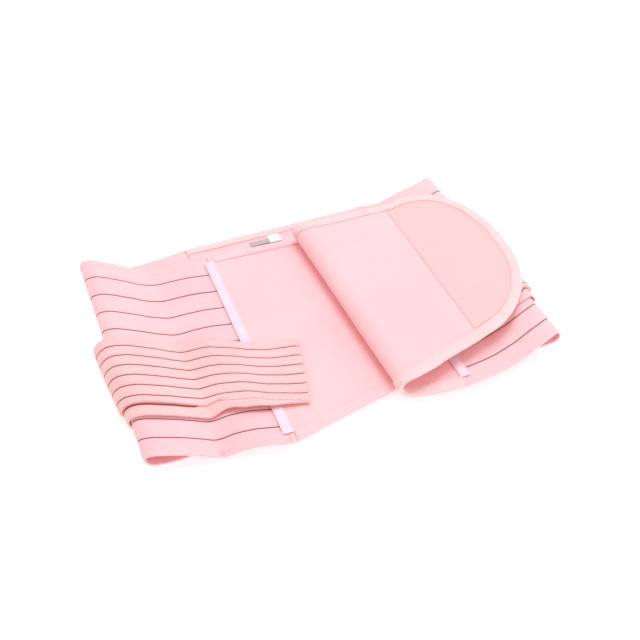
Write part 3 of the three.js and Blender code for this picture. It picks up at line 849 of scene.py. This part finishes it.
padded_panel("front_panel_pad", "front_panel", left_band, left_seam, front_tongue)
padded_panel("hook_panel_pad", "hook_panel", right_band, right_seam, hook_tongue)

# %% [markdown]
# The back panel lies flat on the table, between the two elastics, with its two long edges bound.

# %% Back panel
BACK_GRID = (90, 116)
SEAM_CLOSE = 0.05  # at its two ends the panel all but touches the elastic that it is sewn to
back_length = BACK_RIGHT - BACK_LEFT - 2 * SEAM_CLOSE
back_mesh = cut_and_lay(
    "back_panel_pad", *BACK_GRID,
    lambda a, b: (BACK_LEFT + SEAM_CLOSE + a * back_length, b * BACK_WIDTH),
    lambda s, w: back_place(s, w, padded_relief(s, w, min(w, BACK_WIDTH - w))),
)
back_panel = piece_from(back_mesh, panel_knit, "back_panel", PANEL_THICK, PANEL_ROUND)


# %% [markdown]
# ## Bindings
# A binding is one tape folded round the raw edge and sewn through. Seen in section it is a C: flat on
# top with a dent under the stitches, round at the nose, flat beneath. The flat cut is a long strip. Its
# short direction walks along that C, and its long direction follows the edge of the panel.


# %% The folded section
NOSE_TURNS = 6
NOSE_START = 1.2
NOSE_DROP = 0.08
TAPE_MIDDLE = PANEL_THICK / 2 + GAP + BINDING_THICK / 2
NOSE_REACH = GAP + BINDING_THICK / 2
STITCH_INSET = BINDING_WIDTH - 1.6
STITCH_DENT = 0.2
TOP_OF_SECTION = [  # inset from the edge, drop below the tape's level
    (BINDING_WIDTH, 0.15),
    (BINDING_WIDTH - 0.8, 0.05),
    (STITCH_INSET, STITCH_DENT),
    (STITCH_INSET - 0.9, 0),
    (STITCH_INSET - 2.4, 0),
    (2.6, 0),
    (NOSE_START, NOSE_DROP),
]


def folded_section():
    """Points (inset from the edge, height over the middle) from the top inner edge to the bottom one."""
    top = [(inset, TAPE_MIDDLE - drop) for inset, drop in TOP_OF_SECTION]
    nose = []
    for k in range(1, NOSE_TURNS):
        angle = math.pi / 2 * (1 - 2 * k / NOSE_TURNS)
        nose.append((NOSE_START - (NOSE_START + NOSE_REACH) * math.cos(angle),
                     (TAPE_MIDDLE - NOSE_DROP) * math.sin(angle)))
    return top + nose + [(inset, -height) for inset, height in reversed(top)]


SECTION = folded_section()
SECTION_WALK = [0.0]
for before, after in zip(SECTION, SECTION[1:]):
    SECTION_WALK.append(SECTION_WALK[-1] + math.dist(before, after))
print(f"The binding tape is {SECTION_WALK[-1]:.1f} mm wide before it is folded")


# %% [markdown]
# The edge of a tongue is walked from the seam along its near side, round the tip and back. At each step
# the direction of the edge says which way is inwards, and that is where the section is put. The same
# walk sets out the stitches. The left front's binding is cut from the panel's own knit, and the others
# from the lighter tape.


# %% Walking an edge
def tongue_edge(shape, seam, start, count=230):
    run = [start] + [d for d in (shape.distance(k / count) for k in range(count + 1)) if d > start]
    near, far = ([(seam + d, BELT_WIDTH / 2 + side * shape.half(d)) for d in run] for side in (-1, 1))
    points = near + far[-2::-1]
    edge = []
    walked = 0.0
    for k, (s, w) in enumerate(points):
        before, after = points[max(k - 1, 0)], points[min(k + 1, len(points) - 1)]
        run = Vector((after[0] - before[0], after[1] - before[1])).normalized()
        inward = Vector((-run.y, run.x)) if 0 < k < len(points) - 1 else Vector((0, run.x))
        if k:
            walked += math.dist(points[k - 1], (s, w))
        edge.append(SimpleNamespace(s=s, w=w, inward=inward, walked=walked))
    return edge


def straight_edge(w, inward, count=80):
    reach = BACK_RIGHT - BACK_LEFT + 2 * GAP
    return [
        SimpleNamespace(s=BACK_LEFT - GAP + reach * k / count, w=w, inward=Vector((0, inward)),
                        walked=reach * k / count)
        for k in range(count + 1)
    ]


def inset_from(step, inset):
    return step.s + step.inward.x * inset, step.w + step.inward.y * inset


GATHER_PITCH = 6.5
GATHER_DEPTH = 0.025
TAPE_RIPPLE = (9, 0.25)


def binding_piece(name, node, edge, place, finish=bias_binding):
    last = len(edge) - 1
    turns = len(SECTION) - 1

    def pick(a, b):
        return round(a * last), round(b * turns)

    def flat(a, b):
        k, turn = pick(a, b)
        return edge[k].walked, SECTION_WALK[turn]

    def lay(k, turn):
        step = edge[k]
        inset, height = SECTION[turn]
        gather = GATHER_DEPTH * (1 + math.sin(step.walked / GATHER_PITCH * math.tau)) * min(abs(height), 1)
        wander = ripple(step.walked, 0, *TAPE_RIPPLE) * max(0, 1 - inset / BINDING_WIDTH)
        return place(*inset_from(step, inset + wander), height * (1 - gather))

    mesh = cut_and_lay(name, last, turns, pick, lay, pattern=flat)
    piece = piece_from(mesh, finish, node, BINDING_THICK - THINNER / 2, 0.15)
    cloth_area(mesh, SECTION_WALK[-1], edge[-1].walked)


BOUND_FROM = TAPE_WIDTH / 2 + GAP
front_edge = tongue_edge(front_tongue, left_seam, BOUND_FROM)
hook_edge = tongue_edge(hook_tongue, right_seam, BOUND_FROM)
near_edge = straight_edge(0, 1)
far_edge = straight_edge(BACK_WIDTH, -1)
binding_piece("front_binding_tape", "front_binding", front_edge, left_band.place, panel_knit)
binding_piece("hook_binding_tape", "hook_binding", hook_edge, right_band.place)
binding_piece("back_binding_near_tape", "back_binding_near", near_edge, back_place)
binding_piece("back_binding_far_tape", "back_binding_far", far_edge, back_place)


# %% [markdown]
# ## Hook fastener on the flap
# The fastener is a D: one straight edge across the flap, and a round one that keeps inside the binding.
# Each column of the flat cut runs from the round edge straight back to the straight one. It is thin and
# lies close to the padding, whose waves it follows, so that its cut edge throws hardly any shadow.

# %% The D of hook fastener
PATCH_COLUMNS = 96
PATCH_ROWS = 44
PATCH_GROOVE = 0.8
PATCH_THICK = 0.45
PATCH_CLEAR = 0.12
PATCH_LOW = PANEL_THICK / 2 + PATCH_CLEAR + PATCH_THICK / 2
RIM_CLEAR = 0.5
patch_inset = BINDING_WIDTH + PATCH_GROOVE
patch_start = hook_tongue.length - HOOK_PATCH_LENGTH
rim = [inset_from(step, patch_inset) for step in hook_edge]
rim = [point for point in rim if point[0] > right_seam + patch_start + RIM_CLEAR]


def on_rim(share):
    at = share * (len(rim) - 1)
    k = min(int(at), len(rim) - 2)
    return [rim[k][i] + (rim[k + 1][i] - rim[k][i]) * (at - k) for i in (0, 1)]


def patch_flat(a, b):
    s, w = on_rim(a)
    chord = rim[0][1] + (rim[-1][1] - rim[0][1]) * a
    start = right_seam + patch_start
    return s + (start - s) * b, w + (chord - w) * b


def patch_place(s, w):
    return right_band.place(s, w, pad_wave(s, w) - PATCH_LOW)


patch_mesh = cut_and_lay("hook_patch_cloth", PATCH_COLUMNS, PATCH_ROWS, patch_flat, patch_place)
hook_patch = piece_from(patch_mesh, hook_fastener, "hook_patch", PATCH_THICK, 0.15)


# %% [markdown]
# ## Ribbons over the seams
# The seam between elastic and panel is hidden by a satin ribbon. Satin is stiff and thin, so it puckers
# between its stitches: small waves across it, strongest in the middle.

# %% The two ribbons
RIBBON_ARCH = 0.18
RIBBON_WAVE = 0.16
RIBBON_WAVE_SIZE = (9, 4)
RIBBON_GRID = (12, 150)


def seam_ribbon(side, loop, seam):
    span = BELT_WIDTH - 2 * TAPE_INSET
    low = PANEL_THICK / 2 + GAP + TAPE_THICK / 2

    def flat(a, b):
        return (a - 0.5) * TAPE_WIDTH, TAPE_INSET + b * span

    def place(s, w):
        middle = math.cos(s / TAPE_WIDTH * math.pi)
        along, across = s / RIBBON_WAVE_SIZE[0], w / RIBBON_WAVE_SIZE[1]
        wave = RIBBON_WAVE * noise.noise(Vector((along, across, 5.0)))
        return loop.place(seam + s, w, low + middle * (RIBBON_ARCH + wave))

    mesh = cut_and_lay(f"{side}_seam_ribbon", *RIBBON_GRID, flat, place)
    piece = piece_from(mesh, satin_ribbon, f"{side}_seam_tape", TAPE_THICK - THINNER, 0.12)


seam_ribbon("left", left_band, left_seam)
seam_ribbon("right", right_band, right_seam)

# %% [markdown]
# ## Wrap straps
# Each strap lies along its band, so its course is a short table too: at which row of the band it is,
# where its two edges lie across the belt, and how far they stand off it. Across the strap, its woven
# lines bend it: the strip nearest the viewer drops to the elastic, and the rest stands clear.

# %% Courses of the straps
STRAP_ROW = ("at", "near", "far", "near_rise", "far_rise")
LEFT_STRAP_COURSE = [dict(zip(STRAP_ROW, row)) for row in (
    (0, 0.15, 0.5, 0, 0),
    (3, 0.155, 0.512, 0, 0),
    (4, 0.163, 0.522, 0.7, 2),
    (6, 0.163, 0.518, 0.8, 1.2),
    (9, 0.163, 0.517, 0.7, 0.6),
    (10, 0.173, 0.508, 0.8, 0.85),
    (11, 0.157, 0.492, 0.8, 1.1),
    (12, 0.15, 0.466, 0.3, 0.5),
    (13, 0.13, 0.431, 0.06, 0.06),
    (13.5, 0.114, 0.412, 0, 0),
)]
RIGHT_STRAP_COURSE = [dict(zip(STRAP_ROW, row)) for row in (
    (0, 0.19, 0.54, 0, 0),
    (3, 0.19, 0.53, 0, 0),
    (4, 0.19, 0.53, 1.1, 0.6),
    (6, 0.19, 0.53, 0.3, 0.3),
    (8, 0.19, 0.53, 0.1, 0.1),
    (9.5, 0.19, 0.53, 0, 0),
)]
STRAP_LINES = [(0, 0.3), (0.095, 0.35), (0.15, 1), (1, 1)]  # share across, share of the rise
print("Strap rows:", len(LEFT_STRAP_COURSE), "left,", len(RIGHT_STRAP_COURSE), "right")


def crown_at(v):
    for (low, before), (high, after) in zip(STRAP_LINES, STRAP_LINES[1:]):
        if v <= high:
            return before + (after - before) * (v - low) / (high - low)
    return STRAP_LINES[-1][1]


# %% [markdown]
# A strap has a crease near its near edge, and where it stands clear the cloth is tucked in under that
# crease, like a soft step. The last woven line runs just below the step, comes up into it where the
# strap flattens, and stays out of sight from there to the free end. So the pattern's coordinate is
# measured from the far edge and stretched in the last channel. The cut itself stays the real one.
# Towards the free end the lines also come closer together, because the strap narrows.


# %% The two straps
CREASE_SHARE = STRAP_LINES[2][0]
UNDERCUT_SHARE = STRAP_LINES[1][0]
UNDERCUT = 4.5
UNDERCUT_FULL_RISE = 1.4
STRAP_BEFORE_LAST = STRAP_LAST - STRAP_PITCH
LINE_BELOW_CREASE = 5.5
LINE_HIDES_ROWS = (8.2, 9.1)
LINE_MARGIN = 2.5
LINE_ROOM = 8
PITCH_AT_END = 0.925
PITCH_CLOSES = (0.5, 1)
HEM_LENGTH = 9
STRAP_HEM_STEP = 0.25
STRAP_HEM_BLUR = 1.5
STRAP_RIPPLE = (25, 0.2)
STRAP_RELIEF = 0.8
STRAP_COLUMN = 1.5
STRAP_ROWS = 110
STRAP_EASE = 1.05


def strap_spot(loop, course, thick, climb):
    end = course[-1]["at"]
    end_s = loop.length_to(end)
    on_elastic = ELASTIC_THICK / 2 + GAP + STRAP_THICK / 2
    on_hook = thick / 2 + GAP + HOOK_THICK + GAP + STRAP_THICK / 2

    def row_of(u):
        k = 1
        while k < len(course) - 1 and course[k]["at"] < u:
            k += 1
        before, after = course[k - 1]["at"], course[k]["at"]
        return k - 1 + (u - before) / (after - before)

    def side(u, column):
        return between(course, column, row_of(u))

    def creased(u, v, column):
        aslant = STRAP_KINK_LEAN * (v - STRAP_KINK_PIVOT) * smooth_step(u, *STRAP_KINK_ROWS)
        row = row_of(min(u + aslant, end))
        k = min(max(math.floor(row), 0), len(course) - 2)
        return course[k][column] + (course[k + 1][column] - course[k][column]) * (row - k)

    def spot(u, v, out):
        s0 = loop.length_to(u)
        s = s0 + STRAP_END_LEAN * (v - STRAP_END_PIVOT) * max(0, 1 - (end - u))
        climbed = smooth_step(s, climb - 3 * TAPE_WIDTH, climb - TAPE_WIDTH)
        base = on_elastic + (on_hook - on_elastic) * climbed
        near, far = side(u, "near") * BELT_WIDTH, side(u, "far") * BELT_WIDTH
        near_rise, far_rise = creased(u, v, "near_rise"), creased(u, v, "far_rise")
        level = smooth_step(u, *STRAP_FLAT_ROWS)
        crown = crown_at(v) + (1 - crown_at(v)) * level
        rise = (near_rise + (far_rise - near_rise) * v) * STRAP_RISE * crown
        tucked = min(v / UNDERCUT_SHARE, 1) * (1 - smooth_step(v, UNDERCUT_SHARE, CREASE_SHARE))
        undercut = UNDERCUT * tucked * min(near_rise * UNDERCUT_FULL_RISE, 1) * (1 - level)
        in_corner = max(0, STRAP_CORNER - (end_s - s0))
        corner_tuck = STRAP_CORNER - math.sqrt(STRAP_CORNER ** 2 - in_corner ** 2)
        w = near + corner_tuck + (far - near - 2 * corner_tuck) * v + undercut
        return loop.place(s, w, base + rise + out)

    def width(u):
        return (side(u, "far") - side(u, "near")) * BELT_WIDTH

    return SimpleNamespace(spot=spot, width=width, end=end, end_s=end_s)


def strap_piece(side, loop, course, thick, climb):
    run = strap_spot(loop, course, thick, climb)

    def flat(a, b):
        return loop.row_at(a * run.end_s), b

    def pattern(a, b):
        row = loop.row_at(a * run.end_s)
        width = run.width(row)
        closer = 1 + (PITCH_AT_END - 1) * smooth_step(a, *PITCH_CLOSES)
        from_far = width * (1 - b) / closer
        below = LINE_BELOW_CREASE * (1 - smooth_step(row, *LINE_HIDES_ROWS))
        channel = max(width * (1 - CREASE_SHARE) / closer + below - STRAP_BEFORE_LAST, LINE_ROOM)
        if from_far > STRAP_BEFORE_LAST:
            from_far = STRAP_BEFORE_LAST + (from_far - STRAP_BEFORE_LAST) * STRAP_PITCH / channel
        past = from_far - STRAP_LAST
        if row > STRAP_FLAT_ROWS[0] and abs(past) < LINE_MARGIN:
            from_far = STRAP_LAST + math.copysign(LINE_MARGIN, past)
        return a * run.end_s, from_far

    def place(u, v):
        along, across = pattern(loop.length_to(u) / run.end_s, v)
        relief = channel_relief(across, STRAP_FIRST, STRAP_PITCH, STRAP_LAST) * STRAP_RELIEF
        hem_from = run.end_s - HEM_LENGTH
        hem = STRAP_HEM_STEP * smooth_step(along, hem_from, hem_from + STRAP_HEM_BLUR)
        return run.spot(u, v, relief + hem + ripple(along, across, *STRAP_RIPPLE))

    mesh = cut_and_lay(f"{side}_strap_webbing", round(run.end_s / STRAP_COLUMN), STRAP_ROWS,
                       flat, place, pattern)
    piece = piece_from(mesh, strap_webbing, f"{side}_strap", STRAP_THICK, WEBBING_ROUND)
    mean = (run.width(0) + run.width(run.end)) / 2
    run.width(0) * STRAP_EASE * MM
    cloth_area(mesh, mean, run.end_s)
    return run


right_climb = right_band.length_to(RIGHT_STRAP_COURSE[-1]["at"]) - STRAP_HOOK_LENGTH - TAPE_WIDTH
left_run = strap_piece("left", left_band, LEFT_STRAP_COURSE, PANEL_THICK, left_seam)
right_run = strap_piece("right", right_band, RIGHT_STRAP_COURSE, ELASTIC_THICK, right_climb)


# %% [markdown]
# Under each free end a strip of hook fastener holds the strap down. It follows the strap's own course,
# one thickness lower.

# %% Fasteners under the straps
FASTENER_BACK = 3  # the fastener stops this far before the strap's end
FASTENER_GRID = (24, 40)


def strap_fastener(side, loop, run):
    stop = run.end_s - FASTENER_BACK
    start = stop - STRAP_HOOK_LENGTH
    across = run.width(run.end)
    margin = STRAP_HOOK_MARGIN / run.width(0)
    under = -STRAP_THICK / 2 - GAP - HOOK_THICK / 2

    def flat(a, b):
        return start + (stop - start) * a, (margin + (1 - 2 * margin) * b) * across

    def place(s, w):
        return run.spot(loop.row_at(s), w / across, under)

    mesh = cut_and_lay(f"{side}_strap_fastener", *FASTENER_GRID, flat, place)
    piece = piece_from(mesh, hook_fastener, f"{side}_strap_hook", HOOK_THICK - THINNER, 0.2)


strap_fastener("left", left_band, left_run)
strap_fastener("right", right_band, right_run)

# %% [markdown]
# ## Tag and label
# Two small woven labels are caught under the back panel's binding. Both are blank. A woven label curls
# up a little at its free end.

# %% Blank tag and blank label
label_floor = PANEL_THICK / 2 + GAP + TAG_THICK / 2
label_far = BACK_WIDTH - BINDING_WIDTH - GAP
LABEL_CURL = 0.8
LABEL_RIPPLE = (8, 0.15)
LABEL_GRID = (14, 14)


def small_label(name, node, finish, x, width, far, length):
    def place(s, w):
        loose = (far - w) / length
        return back_place(s, w, label_floor + LABEL_CURL * loose * loose + ripple(s, w, *LABEL_RIPPLE))

    def flat(a, b):
        return x + a * width, far - (1 - b) * length

    mesh = cut_and_lay(name, *LABEL_GRID, flat, place)
    piece = piece_from(mesh, finish, node, TAG_THICK - THINNER, 0.1)


small_label("size_tag_cloth", "size_tag", blank_tag, TAG_X, TAG_WIDTH, label_far, TAG_LENGTH)
small_label("care_label_cloth", "care_label", blank_label, TAG_X - GAP - LABEL_WIDTH, LABEL_WIDTH,
            label_far - LABEL_DROP, LABEL_LENGTH)


# %% [markdown]
# ## Stitches
# A stitch is a short length of thread between two holes. Each one starts from a small icosphere that is
# stretched along the seam and pressed half into the cloth. All stitches of a seam are one mesh, with
# only twenty faces each, so hundreds of them stay cheap.


# %% Sewing a seam
STITCH_PITCH = 3.0
STITCH_LENGTH = 2.3
THREAD = 0.42


def sew(name, slot, course, pitch=STITCH_PITCH, length=STITCH_LENGTH):
    """course is a list of lines, each a list of points in metres that the seam follows."""
    bm = bmesh.new()
    count = 0
    for line in course:
        walked = [0.0]
        for before, after in zip(line, line[1:]):
            walked.append(walked[-1] + (after - before).length)
        for k in range(int(walked[-1] / (pitch * MM))):
            middle = (k + 0.5) * pitch * MM
            at = min(max(bisect_left(walked, middle), 1), len(line) - 1)
            run = line[at] - line[at - 1]
            spot = line[at - 1] + run * ((middle - walked[at - 1]) / (walked[at] - walked[at - 1]))
            turn = run.to_track_quat("X", "Z").to_matrix().to_4x4()
            size = Matrix.Diagonal((length / 2 * MM, THREAD / 2 * MM, THREAD / 2 * MM, 1))
            bmesh.ops.create_icosphere(bm, subdivisions=1, radius=1.0,
                                       matrix=Matrix.Translation(spot) @ turn @ size)
            count += 1
    uv = bm.loops.layers.uv.new("cloth")
    for face in bm.faces:
        for loop in face.loops:
            loop[uv].uv = loop.vert.co.xy
    piece_from(mesh_from(bm, name), sewing_thread)
    print(f"{name}: {count} stitches")


def edge_seam(edge, place, height):
    return [place(*inset_from(step, STITCH_INSET), height) for step in edge[1:-1]]


THREAD_HEIGHT = TAPE_MIDDLE - STITCH_DENT + BINDING_THICK / 2
for name, edge, place in (
    ("front_binding_stitches", front_edge, left_band.place),
    ("hook_binding_stitches", hook_edge, right_band.place),
    ("back_near_stitches", near_edge, back_place),
    ("back_far_stitches", far_edge, back_place),
):
    sew(name, "binding", [edge_seam(edge, place, THREAD_HEIGHT), edge_seam(edge, place, -THREAD_HEIGHT)])


# %% [markdown]
# The ribbons are sewn down along both edges with shorter stitches, and the fastener all round.

# %% Seams on ribbons and fastener
RIBBON_SEAM = 2.9  # from the middle of the ribbon to its seams
RIBBON_SEAM_ENDS = 1
RIBBON_SEAM_LIFT = 0.05
RIBBON_STITCH = dict(pitch=2.6, length=1.9)
PATCH_SEAM_INSET = 1.8
PATCH_SEAM_FROM = 4


def ribbon_seams(loop, seam):
    height = PANEL_THICK / 2 + GAP + TAPE_THICK + RIBBON_SEAM_LIFT
    first = TAPE_INSET + RIBBON_SEAM_ENDS
    stations = [first + k * 2.0 for k in range(int((BELT_WIDTH - 2 * first) / 2))]
    return [[loop.place(seam + off, w, height) for w in stations] for off in (-RIBBON_SEAM, RIBBON_SEAM)]


for side, loop, seam in (("left", left_band, left_seam), ("right", right_band, right_seam)):
    sew(f"{side}_ribbon_stitches", "ribbon", ribbon_seams(loop, seam), **RIBBON_STITCH)


def patch_seam():
    height = -(PATCH_LOW + PATCH_THICK / 2)
    inner = [
        inset_from(step, patch_inset + PATCH_SEAM_INSET)
        for step in hook_edge
        if step.s - right_seam > patch_start + PATCH_SEAM_FROM
    ]
    start = right_seam + patch_start + PATCH_SEAM_INSET
    first, last = inner[0], inner[-1]
    chord = [(start, last[1] + (first[1] - last[1]) * k / 60) for k in range(61)]
    return [[right_band.place(s, w, height + pad_wave(s, w)) for s, w in line] for line in (inner, chord)]


sew("hook_patch_stitches", "hook", patch_seam())


# %% [markdown]
# Where the left elastic dips, a bar tack crosses its near edge: short rows of thread close together that
# stop the hem from working loose. The rows run from the edge inwards, square to every other seam.

# %% The bar tack
TACK_ROW = 9
TACK_START = 0.6
TACK_REACH = 6.5
TACK_SPREAD = (-1.6, -0.6, 0.6, 1.6)


def tack_lines(loop, row, height):
    start = loop.length_to(row)
    walk = [TACK_START + TACK_REACH * k / 4 for k in range(5)]
    return [[loop.place(start + aside, w, height) for w in walk] for aside in TACK_SPREAD]


sew("left_bar_tack_stitches", "elastic", tack_lines(left_band, TACK_ROW, ELASTIC_THICK / 2 + HEM_STEP))


# %% [markdown]
# Each strap's free end is turned into a hem, one small step higher, with a row of stitches at its end
# and one at its inner edge.

# %% Hems of the straps
HEM_SEAMS = (1.6, HEM_LENGTH - 1.2)  # how far back from the strap's end
HEM_SEAM_MARGIN = 0.04
HEM_SEAM_LIFT = 0.3


def hem_seam(loop, run, height):
    lines = []
    for back in HEM_SEAMS:
        u = loop.row_at(run.end_s - back)
        across = [HEM_SEAM_MARGIN + (1 - 2 * HEM_SEAM_MARGIN) * k / 40 for k in range(41)]
        lines.append([run.spot(u, v, height) for v in across])
    return lines


for side, loop, run in (("left", left_band, left_run), ("right", right_band, right_run)):
    sew(f"{side}_strap_stitches", "strap", hem_seam(loop, run, STRAP_THICK / 2 + HEM_SEAM_LIFT))

# %% [markdown]
# ## Table, light and camera
# The belt lies on a plain pale table, white enough to melt into the background. A little light of its
# own keeps it white under the belt too, as the lit sheet of paper does in product photographs.

# %% Table
bm = bmesh.new()
bmesh.ops.create_grid(bm, x_segments=1, y_segments=1, size=4.0)
table_mesh = mesh_from(bm, "table")
table = put_in_scene("table", table_mesh)
table_white = bpy.data.materials.new("table_white")
table_white.use_nodes = True
set_inputs(table_white.node_tree.nodes["Principled BSDF"], {
    "Base Color": (0.93, 0.93, 0.93, 1),
    "Roughness": 0.9,
    "Emission Color": (1, 1, 1, 1),
    "Emission Strength": 0.38,
})
table_mesh.materials.append(table_white)
print("Table:", table.name)


# %% [markdown]
# A studio lights such cloth from large, soft panels, because small lamps would draw hard shadows into
# every fold. One hangs high behind the belt, a weaker one lifts the front, and the white room does the
# rest.


# %% Lights
def soft_panel(name, place, size, power):
    data = bpy.data.lights.new(name, "AREA")
    data.shape = "DISK"
    data.size = size
    data.energy = power
    lamp = put_in_scene(name, data)
    lamp.location = place
    lamp.rotation_euler = Vector(place).to_track_quat("Z", "Y").to_euler()
    print(f"{name}: {power} W, {size} m wide")


soft_panel("overhead_panel", place=(0.3, 0.5, 1.7), size=1.2, power=18)
soft_panel("front_panel_fill", place=(0.8, -1.2, 0.4), size=0.9, power=4.5)
world = bpy.data.worlds.new("studio")
world.use_nodes = True
set_inputs(world.node_tree.nodes["Background"], {"Color": (1, 1, 1, 1), "Strength": 0.65})
bpy.context.scene.world = world
bpy.context.scene.view_settings.view_transform = "Standard"

# %% [markdown]
# The camera stands in front and to the left, looking down: the same place that the belt's own corners
# gave when they were measured in the picture.

# %% Camera
CAMERA_FROM_CORNER = Vector((-0.1012, -0.3981, 0))  # from the back panel's near left corner
CAMERA_HEIGHT = 0.4852
LOOK_DOWN = math.radians(42.93)
LOOK_ASIDE = math.radians(-20.16)
ROLL = math.radians(-1.49)
FOCAL_PIXELS = 874
PICTURE_PIXELS = 640
SENSOR = 36

data = bpy.data.cameras.new("camera")
data.sensor_width = SENSOR
data.lens = SENSOR * FOCAL_PIXELS / PICTURE_PIXELS
camera = put_in_scene("camera", data)
backwards = Vector((math.sin(LOOK_ASIDE) * math.cos(LOOK_DOWN), -math.cos(LOOK_ASIDE) * math.cos(LOOK_DOWN),
                    math.sin(LOOK_DOWN)))
level_right = (-backwards).cross(Vector((0, 0, 1))).normalized()
level_up = level_right.cross(-backwards)
right = level_right * math.cos(ROLL) + level_up * math.sin(ROLL)
up = level_up * math.cos(ROLL) - level_right * math.sin(ROLL)
turn = Matrix((right, up, backwards)).transposed().to_4x4()
place = Vector((corner.x, corner.y, 0)) + CAMERA_FROM_CORNER + Vector((0, 0, CAMERA_HEIGHT))
camera.matrix_world = Matrix.Translation(place) @ turn
bpy.context.scene.camera = camera
print("Camera at", [round(v, 3) for v in place], "lens", round(data.lens, 1))
